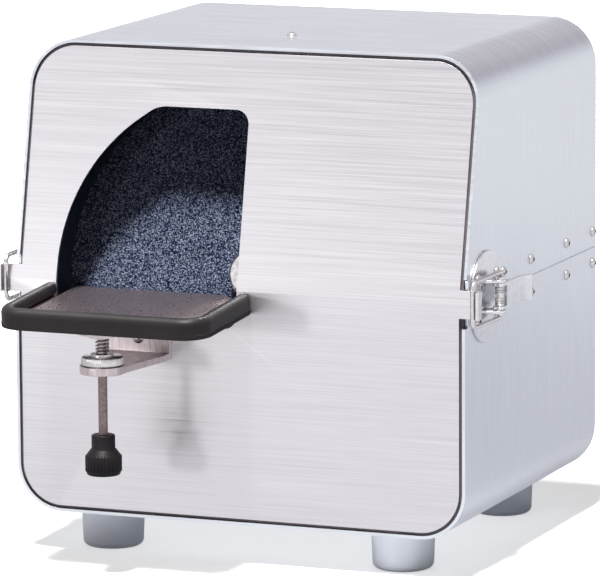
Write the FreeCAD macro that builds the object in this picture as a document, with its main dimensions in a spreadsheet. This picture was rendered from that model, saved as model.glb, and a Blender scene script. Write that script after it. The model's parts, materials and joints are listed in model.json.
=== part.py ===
import FreeCAD, Part
import math
import os
import re
import Sketcher
from FreeCAD import Vector

# Dental model trimmer: a stainless bench casing with a grinding disc and a tilting work table.
# Millimetres. The casing is drawn in its own frame, with y = 0 at the lower front edge, y growing
# rearwards, and z = 0 at the underside of the casing. The finished part stands on its feet at z = 0
# with the middle of its length and width at the origin.

SIZES = [
    # casing
    ("casing_width", 300, "outside width"),
    ("casing_height", 295, "height without the feet"),
    ("casing_depth", 243, "front edge to back"),
    ("casing_corner", 30, "outside radius of the bent corners"),
    ("sheet", 2, "thickness of the casing sheet"),
    ("seam_height", 147, "height of the joint between shell and hood"),
    ("lean_angle", 12, "how far the upper front leans back, degrees"),
    ("flange_width", 12, "inward flange that carries the gasket"),
    ("flange_setback", 6, "front edge to the flange"),
    ("foot_height", 25, "height of a rubber foot"),
    ("foot_radius", 20, "radius of a rubber foot"),
    ("foot_x", "casing_width / 2 - 52", "feet from the middle"),
    ("foot_front", 30, "front feet behind the front edge"),
    ("foot_rear", 34, "rear feet in front of the back"),
    ("slip", 0.3, "gap between pieces that only stand beside each other"),
    ("running", 0.05, "radial play of a pin in its hole"),
    # casing screws
    ("screw_radius", 2, "radius of the casing screws"),
    ("screw_head", 3.3, "radius of their domed heads"),
    ("screw_dome", 2, "height of their domed heads"),
    ("screw_length", 7, "length under the head"),
    ("seam_row", 10.3, "screw rows above and below the seam"),
    ("seam_screw_first", 68, "first seam screw behind the front edge"),
    ("seam_screw_second", 119, "second seam screw"),
    ("seam_screw_third", 186, "third seam screw"),
    ("back_screw_inset", 6, "last seam screw in front of the back"),
    ("strip_width", 36, "width of the strip behind the seam"),
    ("strip_start", 82, "front end of the seam strip"),
    # front panel
    ("panel_sheet", 2, "thickness of the panel"),
    ("panel_gap", 4, "panel edge inside the casing's outside face"),
    ("lug_height", 17, "height of the side lugs"),
    ("lug_reach", 10, "lugs beyond the casing's side"),
    ("lip_reach", 3.5, "forward lip at the lug's end"),
    ("notch_height", 30, "height of the notch that a lug passes"),
    ("notch_depth", 5.5, "depth of the notch, in front of the flange"),
    ("opening_left", "casing_width / 2 - 28", "left edge of the opening from the middle"),
    ("opening_right", 0, "right edge of the opening from the middle"),
    ("opening_top", "casing_height - 38.5", "top edge of the opening"),
    ("opening_bottom", "seam_height - 24", "bottom edge of the opening"),
    ("opening_arc", 115, "radius of the opening's round side"),
    ("opening_axis", "seam_height + 7.5", "height of the round side's centre"),
    ("shoulder_angle", 55, "where the round side ends, degrees"),
    ("shoulder_radius", 20, "blend from the round side to the top"),
    ("opening_corner", 9, "radius of the opening's corners"),
    # disc and its drive, tilted with the upper panel
    ("disc_radius", 125, "abrasive disc"),
    ("disc_sheet", 1.5, "thickness of the abrasive"),
    ("disc_setback", 31, "disc face behind the front edge at its axis"),
    ("disc_axis", "seam_height + 6", "height of the axis at the disc's face"),
    ("carrier_sheet", 6, "thickness of the carrier plate"),
    ("carrier_edge", 1, "carrier inside the abrasive's edge"),
    ("clamp_radius", 15.5, "clamp flange"),
    ("clamp_height", 8, "clamp flange in front of the disc"),
    ("clamp_screw", 4, "radius of the centre screw"),
    ("shaft_radius", 7.5, "motor shaft"),
    ("hub_radius", 18, "hub of the carrier"),
    ("hub_end", 19, "back of the hub behind the disc's face"),
    ("bulkhead_setback", 24, "bulkhead behind the disc's face"),
    ("bulkhead_sheet", 2.5, "thickness of the bulkhead"),
    ("bulkhead_flange", 20, "flanges of the bulkhead"),
    ("side_flange_height", 170, "height of the bulkhead's flanges at the sides"),
    ("rear_flange", 1.5, "thickness of the rear panel's flange"),
    ("top_screw_back", 8, "top screw behind the bulkhead's bend"),
    ("motor_radius", 58, "motor housing"),
    ("motor_wall", 4, "wall of the motor housing"),
    ("motor_length", 100, "motor housing between its shields"),
    ("fin_height", 5, "cooling fins on the motor housing"),
    ("fin_count", 16, "number of fins"),
    ("shield_sheet", 8, "thickness of the motor's end shields"),
    ("nose_radius", 26, "front shield's nose in the bulkhead"),
    ("bearing_radius", 17.5, "outside of the ball bearings"),
    ("bearing_width", 11, "width of the ball bearings"),
    ("bearing_inset", 7, "front bearing behind the bulkhead"),
    ("seal_radius", 15, "outside of the shaft seal"),
    ("seal_width", 6, "width of the shaft seal"),
    ("rotor_radius", 33, "rotor core"),
    ("rotor_length", 60, "rotor core"),
    ("air_gap", 0.5, "between rotor and stator"),
    ("fan_radius", 48, "cooling fan"),
    ("fan_width", 14, "cooling fan"),
    ("fan_blades", 8, "blades of the cooling fan"),
    ("motor_bolt_circle", 50, "radius of the motor's bolt circle"),
    ("motor_bolt", 2.5, "radius of the motor's bolts"),
    # table
    ("table_reach", 78.5, "front of the table rim before the front edge"),
    ("table_middle", "62 - opening_left", "middle of the table from the middle of the casing"),
    ("table_width", 139, "outside width of the rim"),
    ("table_tilt", 3.4, "slope of the table towards the front at rest, degrees"),
    ("table_sheet", 2, "thickness of the plate"),
    ("table_rise", 7.2, "plate's top above the pivot"),
    ("table_corner", 17, "outside radius of the rim's front corners"),
    ("tongue_reach", 19.5, "plate behind the pivot"),
    ("tongue_gap", 2, "plate beside the opening's edges"),
    ("tongue_cut", 16, "corner of the tongue cut off beside the disc's clamp flange"),
    ("field_rise", 0.5, "ribbed field above the rest of the plate"),
    ("field_inset", 2, "ribbed field inside the tongue's edges"),
    ("pivot_setback", 7, "pivot behind the front edge"),
    ("pivot_height", "seam_height - 15.5", "height of the pivot"),
    ("pivot_radius", 3, "pivot rod"),
    ("ear_radius", 6, "ears on the pivot rod"),
    ("ear_sheet", 3, "thickness of the ears"),
    ("ear_inset", 14, "ears inside the tongue's edges"),
    ("rim_bulb", 4.5, "radius of the rim's rounded top"),
    ("rim_strip", 6, "width of the rim's lower strip"),
    ("rim_above", 8, "rim above the plate"),
    ("rim_below", 5, "rim below the plate's top"),
    ("rim_rear", 8.3, "rear ends of the rim before the pivot"),
    ("rim_grip", 4, "how deep the plate sits in the rim"),
    # table support
    ("rod_x", "table_middle - 5", "adjusting rod from the middle"),
    ("rod_reach", 58, "adjusting rod before the front edge"),
    ("rod_radius", 3, "adjusting rod"),
    ("rod_top", "pivot_height - 7", "top of the rod"),
    ("bracket_width", 42, "bracket at the panel"),
    ("bracket_bottom", "pivot_height - 29.5", "underside of the bracket"),
    ("bracket_sheet", 4, "thickness of the bracket"),
    ("bracket_top", "bracket_bottom + 18.5", "top of the bracket's upright"),
    ("bracket_upright", 3, "thickness of the upright"),
    ("bracket_screw_height", "bracket_bottom + 12.5", "height of the bracket's screw"),
    ("boss_radius", 14, "boss at the end of the bracket"),
    ("boss_height", 5, "height of the boss"),
    ("bush_radius", 5, "threaded bush"),
    ("nut_radius", 13, "knurled lock nut"),
    ("nut_height", 5.5, "knurled lock nut"),
    ("collar_radius", 7, "collar under the spring"),
    ("collar_height", 1.5, "collar under the spring"),
    ("spring_radius", 4.5, "outside of the spring"),
    ("spring_wire", 1.2, "wire of the spring"),
    ("pad_radius", 5, "pad on the rod's tip"),
    ("pad_height", 3.8, "pad on the rod's tip"),
    ("socket_radius", 17, "cup under the table"),
    ("socket_mouth", 9, "outside of the cup's mouth"),
    ("socket_depth", 7.8, "cup under the plate"),
    ("socket_bore", 6.6, "bore of the cup"),
    ("knob_radius", 11.4, "adjusting knob"),
    ("knob_height", 25, "adjusting knob with its neck"),
    ("knob_neck", 9, "height of the knob's neck"),
    ("neck_radius", 7.3, "knob's neck"),
    ("knob_top", "rod_top - 60.8", "top of the knob's neck"),
    ("flute_count", 24, "flutes round the knob"),
    ("flute_radius", 1, "flutes round the knob"),
    # latches
    ("latch_plate_radius", 28.5, "round base plate"),
    ("latch_plate_sheet", 1.5, "round base plate"),
    ("latch_plate_back", 35.5, "base plate's centre behind the front edge"),
    ("latch_pin_back", 40, "lever pin behind the front edge"),
    ("latch_pin_out", 8, "lever pin off the casing's side"),
    ("latch_pin_radius", 2, "lever pin"),
    ("hook_throw", 6, "bail pivot from the lever pin"),
    ("hook_inset", 1, "bail pivot inside the lever pin when closed"),
    ("latch_ear", 2, "thickness of the ears"),
    ("latch_ear_gap", 8.5, "ears from the latch's middle"),
    ("lever_height", 16, "height of the lever"),
    ("lever_sheet", 2, "thickness of the lever"),
    ("lever_end", 78, "lever's end behind the front edge"),
    ("finger_reach", 6, "how far the lever's end bends out"),
    ("bail_wire", 1.5, "radius of the bail's wire"),
    ("bail_height", 31, "height of the bail"),
    ("bail_front_out", 5.5, "front bar off the casing's side"),
    ("latch_screw_circle", 21, "radius of the latch's screw circle"),
    ("latch_screw_angle", 37, "screws above and below the middle, degrees"),
    # water and power
    ("drain_radius", 20, "outside of the drain spout"),
    ("drain_wall", 2, "wall of the drain spout"),
    ("drain_height", 24, "height of its axis"),
    ("drain_reach", 28, "spout behind the casing"),
    ("port_flange", 4, "flanges round the spout and the inlet, beyond their radius"),
    ("port_sheet", 2, "thickness of those flanges"),
    ("port_relief", 0.5, "depth of the 1 mm groove behind each of them"),
    ("water_x", "-0.3 * casing_width", "water line from the middle"),
    ("valve_height", 245, "height of the water valve"),
    ("valve_thread", 13.2, "outside radius of the water inlet"),
    ("valve_reach", 16, "inlet behind the casing"),
    ("spray_height", 272, "height of the spray pipe"),
    ("spray_setback", 42, "spray pipe behind the front edge"),
    ("spray_end", -12, "closed end of the spray pipe"),
    ("spray_radius", 4, "spray pipe"),
    ("spray_bend", 14, "bend of the spray pipe"),
    ("hose_wall", 2, "wall of the water hose"),
    ("hose_bend", 22, "bends of the water hose"),
    ("inlet_x", "casing_width / 2 - 62", "power inlet from the middle"),
    ("inlet_height", 62, "height of the power inlet"),
    ("inlet_width", 30, "flange of the power inlet"),
    ("inlet_tall", 58, "flange of the power inlet"),
    ("inlet_flange", 3, "thickness of that flange"),
    ("inlet_body", 26, "depth of the inlet inside"),
    ("socket_wide", 24, "recess for the plug"),
    ("socket_tall", 16, "recess for the plug"),
    ("socket_deep", 17, "recess for the plug"),
    ("rocker_wide", 12, "switch rocker"),
    ("rocker_tall", 20, "switch rocker"),
    ("rocker_tilt", 8, "slope of the rocker when off, degrees"),
    ("vent_width", 44, "vent slots"),
    ("vent_height", 4, "vent slots"),
    ("vent_pitch", 10, "from slot to slot"),
    ("vent_rows", 8, "slots in one column"),
    ("vent_bottom", 165, "height of the lowest slot"),
]

doc = FreeCAD.newDocument("model_trimmer")
sheet_object = doc.addObject("Spreadsheet::Sheet", "sizes")
for row, (alias, number, note) in enumerate(SIZES, 1):
    sheet_object.set(f"A{row}", alias)
    sheet_object.set(f"B{row}", f"={number}")
    sheet_object.set(f"C{row}", note)
    sheet_object.setAlias(f"B{row}", alias)
doc.recompute()

ALIAS = re.compile(r"\b(" + "|".join(name for name, number, note in SIZES) + r")\b")

# Places that follow from the driving sizes
FRONT_Y = "(table_reach - casing_depth - drain_reach) / 2"
INNER_X = "(casing_width / 2 - sheet)"
INNER_TOP = "(casing_height - sheet)"
INNER_CORNER = "(casing_corner - sheet)"
SEAM_SCREWS = ["seam_screw_first", "seam_screw_second", "seam_screw_third",
               "(casing_depth - back_screw_inset)"]
BULKHEAD_BACK = "(bulkhead_setback + bulkhead_sheet)"
BEARING_FRONT = f"({BULKHEAD_BACK} + bearing_inset)"
MOTOR_FRONT = f"({BULKHEAD_BACK} + shield_sheet)"
MOTOR_BACK = f"({MOTOR_FRONT} + motor_length)"
SHIELD_BACK = f"({MOTOR_BACK} + shield_sheet + 4)"
NUT_BOTTOM = "(bracket_bottom + boss_height)"
COLLAR_BOTTOM = f"({NUT_BOTTOM} + nut_height)"
SPRING_BOTTOM = f"({COLLAR_BOTTOM} + collar_height)"
TABLE_FRONT = "((-table_reach - pivot_setback + (table_rise + rim_above - rim_bulb)"\
    " * sin(table_tilt)) / cos(table_tilt))"
ROD_IN_TABLE = "((-rod_reach - pivot_setback) / cos(table_tilt))"
PLATE_UNDER = "(table_rise - table_sheet)"

pieces = []


def formula(text):
    """The text of a size formula, with every name read from the sheet."""
    return ALIAS.sub(r"sizes.\1", str(text))


def value(text):
    return float(sheet_object.evalExpression(formula(text)))


def bind(item, **properties):
    for name, text in properties.items():
        item.setExpression(name, formula(text))
    return item


def leaning(height, setback):
    """Depth of the leaning front at a height, a setback behind the front edge."""
    return f"({setback} + ({height} - seam_height) * tan(lean_angle))"


def place(item, x="0", y="0", z="0", axis=(1, 0, 0), angle="0"):
    """Seats a piece in the casing's frame, and lifts it onto the feet."""
    turn = f"rotation(vector({axis[0]}; {axis[1]}; {axis[2]}); {angle})"
    spot = f"vector({x}; {FRONT_Y} + {y}; foot_height + {z})"
    item.setExpression("Placement", formula(f"placement({spot}; {turn})"))
    return item


def in_casing(item):
    return place(item)


def in_drive(item):
    """Origin at the middle of the disc's face, y along the tilted axis."""
    return place(item, y="disc_setback", z="disc_axis", angle="-lean_angle")


def in_table(item):
    """Origin on the table's pivot, x from the table's middle, tilted with the table."""
    return place(item, x="table_middle", y="pivot_setback", z="pivot_height", angle="table_tilt")


def at_rod(item):
    """Origin on the adjusting rod's axis."""
    return place(item, x="rod_x", y="(-rod_reach)")


def in_latch(item, side, out="0", back="0", turn="0"):
    """Origin on the casing's side at the seam, x outwards. The left latch is the right one
    turned half a turn about the depth axis, because a latch is the same above and below."""
    if side == "right":
        spot = f"vector(casing_width / 2 + {out}; {FRONT_Y} + {back}; foot_height + seam_height)"
        whole = f"rotation(vector(0; 0; 1); {turn})"
    else:
        spot = f"vector(-casing_width / 2 - {out}; {FRONT_Y} + {back}; foot_height + seam_height)"
        whole = f"rotation(vector(0; 1; 0); 180) * rotation(vector(0; 0; 1); {turn})"
    item.setExpression("Placement", formula(f"placement({spot}; {whole})"))
    return item


def new_body(label):
    item = doc.addObject("PartDesign::Body", label)
    item.Label = label
    pieces.append(item)
    return item


def fix_point(sketch, geometry, end, x, y):
    """Ties a sketch point to two size formulas."""
    for kind, text in (("DistanceX", x), ("DistanceY", y)):
        index = sketch.addConstraint(
            Sketcher.Constraint(kind, -1, 1, geometry, end, value(text)))
        sketch.setExpression(f"Constraints[{index}]", formula(text))


def fix_radius(sketch, geometry, text):
    index = sketch.addConstraint(Sketcher.Constraint("Radius", geometry, value(text)))
    sketch.setExpression(f"Constraints[{index}]", formula(text))


def draw_circle(sketch, x, y, radius):
    centre = Vector(value(x), value(y), 0)
    geometry = sketch.addGeometry(Part.Circle(centre, Vector(0, 0, 1), value(radius)), False)
    fix_point(sketch, geometry, 3, x, y)
    fix_radius(sketch, geometry, radius)


def draw_outline(sketch, corners, closed=True):
    """Straight lines between corners (x, y) or rounded corners (x, y, radius)."""
    count = len(corners)
    spots = [Vector(value(c[0]), value(c[1]), 0) for c in corners]
    radii = [value(c[2]) if len(c) > 2 else 0 for c in corners]
    bends = []
    for i in range(count):
        back = (spots[i - 1] - spots[i]).normalize()
        ahead = (spots[(i + 1) % count] - spots[i]).normalize()
        half = math.acos(max(-1, min(1, back.dot(ahead)))) / 2
        reach = radii[i] / math.tan(half) if radii[i] else 0
        bends.append((spots[i] + back * reach, spots[i] + ahead * reach, back, ahead, half))
    runs = []
    for i in range(count if closed else count - 1):
        line = Part.LineSegment(bends[i][1], bends[(i + 1) % count][0])
        runs.append(sketch.addGeometry(line, False))
    for i in range(count):
        if not closed and i == 0:
            fix_point(sketch, runs[0], 1, corners[0][0], corners[0][1])
            continue
        if not closed and i == count - 1:
            fix_point(sketch, runs[-1], 2, corners[-1][0], corners[-1][1])
            continue
        before = runs[i - 1]
        after = runs[i]
        if not radii[i]:
            sketch.addConstraint(Sketcher.Constraint("Coincident", before, 2, after, 1))
            fix_point(sketch, after, 1, corners[i][0], corners[i][1])
            continue
        enter, leave, back, ahead, half = bends[i]
        middle = (back + ahead).normalize()
        crown = spots[i] + middle * (radii[i] / math.sin(half) - radii[i])
        arc = sketch.addGeometry(Part.Arc(enter, crown, leave), False)
        corner = sketch.addGeometry(Part.Point(spots[i]), True)
        starts = (sketch.getPoint(arc, 1) - enter).Length < 1e-6
        ends = (1, 2) if starts else (2, 1)
        sketch.addConstraint(Sketcher.Constraint("Tangent", before, 2, arc, ends[0]))
        sketch.addConstraint(Sketcher.Constraint("Tangent", arc, ends[1], after, 1))
        fix_radius(sketch, arc, corners[i][2])
        sketch.addConstraint(Sketcher.Constraint("PointOnObject", corner, 1, before))
        sketch.addConstraint(Sketcher.Constraint("PointOnObject", corner, 1, after))
        fix_point(sketch, corner, 1, corners[i][0], corners[i][1])


def new_sketch(body, plane, start="0"):
    """Sketch on one of the body's own planes, start millimetres along its axis."""
    sketch = body.newObject("Sketcher::SketchObject", f"{body.Name}_sketch")
    origin_plane = [item for item in body.Origin.OriginFeatures if item.Role == f"{plane}_Plane"]
    sketch.AttachmentSupport = [(origin_plane[0], "")]
    sketch.MapMode = "FlatFace"
    sign = "-1" if plane == "XZ" else "1"
    sketch.setExpression("AttachmentOffset.Base.z", formula(f"{sign} * ({start})"))
    return sketch


def draw(body, plane, contours, start="0"):
    """Sketch of outlines, given as corner lists, and circles, given as (x, y, radius)."""
    sketch = new_sketch(body, plane, start)
    for contour in contours:
        if isinstance(contour, tuple):
            draw_circle(sketch, *contour)
        else:
            draw_outline(sketch, contour)
    return sketch


def extrude(body, plane, contours, start, length):
    """Adds material from start over length, along the plane's axis."""
    feature = body.newObject("PartDesign::Pad", f"{body.Name}_pad")
    feature.Profile = draw(body, plane, contours, start)
    feature.Reversed = plane == "XZ"
    return bind(feature, Length=length)


def cut(body, plane, contours, start, length):
    """Removes material from start over length, along the plane's axis."""
    feature = body.newObject("PartDesign::Pocket", f"{body.Name}_pocket")
    feature.Profile = draw(body, plane, contours, start)
    feature.Reversed = plane != "XZ"
    return bind(feature, Length=length)


def turn(body, plane, corners):
    """Revolves a half profile, given as (radius, place along the axis)."""
    feature = body.newObject("PartDesign::Revolution", f"{body.Name}_turned")
    sketch = draw(body, plane, [corners])
    feature.Profile = sketch
    feature.ReferenceAxis = (sketch, ["V_Axis"])
    feature.Angle = 360
    return feature


def repeat_round(body, feature, sketch, count):
    """Repeats a feature round the axis that its sketch stands square to."""
    pattern = body.newObject("PartDesign::PolarPattern", f"{body.Name}_pattern")
    pattern.Originals = [feature]
    pattern.Axis = (sketch, ["N_Axis"])
    pattern.Angle = 360
    pattern.setExpression("Occurrences", formula(count))
    body.Tip = pattern
    return pattern


def repeat_upwards(body, feature, sketch, length, count):
    """Repeats a feature along its sketch's upright axis."""
    pattern = body.newObject("PartDesign::LinearPattern", f"{body.Name}_row")
    pattern.Originals = [feature]
    pattern.Direction = (sketch, ["V_Axis"])
    bind(pattern, Length=length, Occurrences=count)
    body.Tip = pattern
    return pattern


def sweep(body, plane, start, path, profile_plane, profile_start, circles):
    """Runs a round section along an open path."""
    spine = new_sketch(body, plane, start)
    draw_outline(spine, path, closed=False)
    section = draw(body, profile_plane, circles, profile_start)
    feature = body.newObject("PartDesign::AdditivePipe", f"{body.Name}_pipe")
    feature.Profile = section
    feature.Spine = spine
    return feature


def box(x0, y0, x1, y1, radius=None):
    """Corner list of a rectangle, with rounded corners if a radius is given."""
    corners = [(x0, y0), (x1, y0), (x1, y1), (x0, y1)]
    if radius is None:
        return corners
    return [corner + (radius,) for corner in corners]


def shell_section(edge, low, corner):
    """Upright or upside-down channel outline: low is the floor, or the roof."""
    return [(f"-({edge})", "seam_height"), (f"-({edge})", low, corner),
            (edge, low, corner), (edge, "seam_height")]


def channel(outer, inner):
    """Closed outline between two channels that both open at the seam."""
    return outer + list(reversed(inner))


def side_holes(body, sign):
    """Holes through both sides of one casing half: sign is +1 above the seam, -1 below."""
    height = f"seam_height + {sign} * seam_row"
    circles = [(depth, height, "screw_radius + running") for depth in SEAM_SCREWS]
    rise = f"seam_height + {sign} * latch_screw_circle * sin(latch_screw_angle)"
    for way in (-1, 1):
        depth = f"latch_plate_back + {way} * latch_screw_circle * cos(latch_screw_angle)"
        circles.append((depth, rise, "screw_radius + running"))
    cut(body, "YZ", circles, "-casing_width / 2 - 1", "casing_width + 2")


def lug_notches(body, sign):
    """Half notches at both front edges, where the panel's lugs come out."""
    far = f"seam_height + {sign} * notch_height / 2"
    beyond = f"seam_height - {sign}"
    corners = [("-5", beyond), ("-5", far), ("notch_depth", far, "notch_depth / 2"),
               ("notch_depth", beyond)]
    cut(body, "YZ", [corners], "-casing_width / 2 - 1", "sheet + 1")
    cut(body, "YZ", [corners], f"{INNER_X}", "sheet + 1")


def make_lower_shell():
    body = in_casing(new_body("lower_shell"))
    flange_inner = shell_section(f"{INNER_X} - flange_width", "sheet + flange_width",
                                 f"{INNER_CORNER} - flange_width")
    flange_outer = shell_section(INNER_X, "sheet", INNER_CORNER)
    extrude(body, "XZ", [channel(flange_outer, flange_inner)], "flange_setback", "sheet")
    skin_outer = shell_section("casing_width / 2", "0", "casing_corner")
    extrude(body, "XZ", [channel(skin_outer, flange_outer)], "0", "casing_depth")
    lug_notches(body, -1)
    side_holes(body, -1)
    feet = [(f"{way} * foot_x", depth, "3.3") for way in (-1, 1)
            for depth in ("foot_front", "casing_depth - foot_rear")]
    cut(body, "XY", feet, "-1", "sheet + 2")


def make_upper_hood():
    body = in_casing(new_body("upper_hood"))
    flange_inner = shell_section(f"{INNER_X} - flange_width", f"{INNER_TOP} - flange_width",
                                 f"{INNER_CORNER} - flange_width")
    flange_outer = shell_section(INNER_X, INNER_TOP, INNER_CORNER)
    extrude(body, "XZ", [channel(flange_outer, flange_inner)], "0", "casing_depth / 2")
    top = "casing_height + 1"
    wide_start = "-casing_width / 2 - 1"
    wide = "casing_width + 2"
    cut(body, "YZ", [[("-5", "seam_height - 1"), (leaning("(seam_height - 1)", "flange_setback"),
                      "seam_height - 1"), (leaning(f"({top})", "flange_setback"), top),
                      ("-5", top)]], wide_start, wide)
    back = "flange_setback + sheet"
    cut(body, "YZ", [[(leaning("(seam_height - 1)", back), "seam_height - 1"),
                      ("casing_depth", "seam_height - 1"), ("casing_depth", top),
                      (leaning(f"({top})", back), top)]], wide_start, wide)
    skin_outer = shell_section("casing_width / 2", "casing_height", "casing_corner")
    extrude(body, "XZ", [channel(skin_outer, flange_outer)], "0", "casing_depth")
    cut(body, "YZ", [[("-5", "seam_height"), ("0", "seam_height"),
                      (leaning(f"({top})", "0"), top), ("-5", top)]], wide_start, wide)
    lug_notches(body, 1)
    side_holes(body, 1)
    cut(body, "XY", [("0", top_screw_depth(), "screw_radius + running")],
        f"{INNER_TOP} - 1", "sheet + 2")


def bulkhead_top():
    """Height of the bulkhead's front top edge in the drive's frame."""
    return f"(({INNER_TOP} - slip - disc_axis + bulkhead_setback * sin(lean_angle))"\
        " / cos(lean_angle))"


def top_screw_depth():
    """Depth of the top screw in the casing's frame, behind the bulkhead's bend."""
    return f"(disc_setback + bulkhead_setback * cos(lean_angle)"\
        f" + {bulkhead_top()} * sin(lean_angle) + top_screw_back)"


def make_seam_strips():
    body = in_casing(new_body("seam_strips"))
    low = "seam_height - strip_width / 2"
    high = "seam_height + strip_width / 2"
    end = "casing_depth - 20"
    for sign in (-1, 1):
        start = f"{sign} * ({INNER_X} - sheet / 2) - sheet / 2"
        extrude(body, "YZ", [box("strip_start", low, end, high, "3")], start, "sheet")
    circles = [(depth, f"seam_height + {sign} * seam_row", "screw_radius + running")
               for depth in SEAM_SCREWS[1:3] for sign in (-1, 1)]
    cut(body, "YZ", circles, "-casing_width / 2", "casing_width")


def domed_screw(radius, head, dome, length):
    """Half profile of a domed screw, with its axis along the profile's height."""
    return [("0", f"-({length})"), (radius, f"-({length})"), (radius, "0"), (head, "0"),
            (head, f"{dome} * 0.35"), (f"{head} * 0.6", f"{dome} * 0.85"), ("0", dome)]


def make_casing_screws():
    shapes = []
    profile = [(value(x), value(y)) for x, y in
               domed_screw("screw_radius", "screw_head", "screw_dome", "screw_length")]
    wire = Part.makePolygon([Vector(x, 0, y) for x, y in profile + profile[:1]])
    screw = Part.Face(wire).revolve(Vector(0, 0, 0), Vector(0, 0, 1), 360)
    half = value("casing_width") / 2
    seam = value("seam_height")
    row = value("seam_row")
    for way in (-1, 1):
        for depth in SEAM_SCREWS:
            for sign in (-1, 1):
                spot = Vector(way * half, value(depth), seam + sign * row)
                turned = FreeCAD.Rotation(Vector(0, 1, 0), 90 * way)
                one = screw.copy()
                one.Placement = FreeCAD.Placement(spot, turned)
                shapes.append(one)
    top = screw.copy()
    top.Placement = FreeCAD.Placement(
        Vector(0, value(top_screw_depth()), value("casing_height")), FreeCAD.Rotation())
    shapes.append(top)
    item = doc.addObject("Part::Feature", "casing_screws")
    item.Shape = Part.makeCompound(shapes)
    pieces.append(in_casing(item))


def make_rear_panel():
    body = in_casing(new_body("rear_panel"))
    edge = f"({INNER_X} - slip)"
    low = "(sheet + slip)"
    high = f"({INNER_TOP} - slip)"
    corner = f"({INNER_CORNER} - slip)"
    outer = box(f"-{edge}", low, edge, high, corner)
    inner = box(f"-{edge} + rear_flange", f"{low} + rear_flange", f"{edge} - rear_flange",
                f"{high} - rear_flange", f"{corner} - rear_flange")
    extrude(body, "XZ", [outer], "casing_depth - sheet", "sheet")
    extrude(body, "XZ", [outer, inner], "casing_depth - 18", "16")
    circles = [(SEAM_SCREWS[3], f"seam_height + {sign} * seam_row", "screw_radius + running")
               for sign in (-1, 1)]
    cut(body, "YZ", circles, "-casing_width / 2", "casing_width")
    holes = [("0", "drain_height", "drain_radius + slip"),
             ("water_x", "valve_height", "valve_thread + slip"),
             box("inlet_x - inlet_width / 2 + 2", "inlet_height - inlet_tall / 2 + 4",
                 "inlet_x + inlet_width / 2 - 2", "inlet_height + inlet_tall / 2 - 4")]
    cut(body, "XZ", holes, "casing_depth - 10", "20")
    for column in (-1, 1):
        middle = f"{column} * (vent_width / 2 + 6) + 20"
        slot = box(f"{middle} - vent_width / 2", "vent_bottom - vent_height / 2",
                   f"{middle} + vent_width / 2", "vent_bottom + vent_height / 2",
                   "vent_height / 2 - 0.1")
        vent = cut(body, "XZ", [slot], "casing_depth - 5", "10")
        repeat_upwards(body, vent, vent.Profile[0], "vent_pitch * (vent_rows - 1)", "vent_rows")


def make_feet():
    for side, way in (("left", -1), ("right", 1)):
        for end, depth in (("front", "foot_front"), ("rear", "casing_depth - foot_rear")):
            body = new_body(f"foot_{end}_{side}")
            turn(body, "XZ", [("3.3", "0"), ("foot_radius", "0"),
                              ("foot_radius - 1", "-foot_height", "4"), ("7.5", "-foot_height"),
                              ("7.5", "-foot_height / 2"), ("3.3", "-foot_height / 2")])
            place(body, x=f"{way} * foot_x", y=f"({depth})")


def make_foot_screws():
    body = new_body("foot_screws")
    half = "foot_height / 2"
    for way in (-1, 1):
        for depth in ("foot_front", "(casing_depth - foot_rear)"):
            x = f"{way} * foot_x"
            head = hexagon(x, depth, "5.5")
            extrude(body, "XY", [(x, depth, "3")], f"-{half}", f"{half} + sheet + 8")
            extrude(body, "XY", [head], f"-{half} - 4", "4")
            extrude(body, "XY", [head], "sheet", "5")
    in_casing(body)


def hexagon(x, y, radius):
    """Corner list of a hexagon round a point, radius to its flats."""
    corners = []
    for step in range(6):
        angle = 60 * step
        corners.append((f"{x} + {radius} / cos(30) * cos({angle})",
                        f"{y} + {radius} / cos(30) * sin({angle})"))
    return corners


def make_front_panel():
    body = in_casing(new_body("front_panel"))
    low = "panel_gap"
    high = "(casing_height - panel_gap)"
    edge = "(casing_width / 2 - panel_gap)"
    reach = "(casing_width / 2 + lug_reach)"
    lug_low = "(seam_height - lug_height / 2)"
    lug_high = "(seam_height + lug_height / 2)"
    corner = "(casing_corner - panel_gap)"
    extrude(body, "YZ", [[("0", low), ("panel_sheet", low), ("panel_sheet", "seam_height"),
                          (leaning(high, "panel_sheet"), high), (leaning(high, "0"), high),
                          ("0", "seam_height")]], f"-{reach}", f"2 * {reach}")
    outline = [(f"-{edge}", low, corner), (edge, low, corner), (edge, lug_low),
               (reach, lug_low), (reach, lug_high), (edge, lug_high), (edge, high, corner),
               (f"-{edge}", high, corner), (f"-{edge}", lug_high), (f"-{reach}", lug_high),
               (f"-{reach}", lug_low), (f"-{edge}", lug_low)]
    around = box(f"-{reach} - 5", "-5", f"{reach} + 5", "casing_height + 5")
    cut(body, "XZ", [around, outline], "-5", "casing_depth / 2")
    for way in (-1, 1):
        inside = f"{way} * ({reach} - panel_sheet)"
        outside = f"{way} * {reach}"
        extrude(body, "XY", [box(inside, "-lip_reach", outside, "panel_sheet")], lug_low,
                "lug_height")
    arm = "(opening_axis + opening_arc * tan(shoulder_angle / 2))"
    shoulder = f"(-opening_left + (opening_top - {arm}) * tan(shoulder_angle))"
    opening = [("opening_right", "opening_bottom", "opening_corner"),
               ("opening_right", "opening_top", "opening_corner"),
               (shoulder, "opening_top", "shoulder_radius"),
               ("-opening_left", arm, "opening_arc"),
               ("-opening_left", "opening_bottom", "opening_corner")]
    cut(body, "XZ", [opening], "-5", "casing_depth / 2")
    cut(body, "XZ", [("rod_x", "bracket_screw_height", "screw_radius + running")], "-5", "20")


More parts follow.
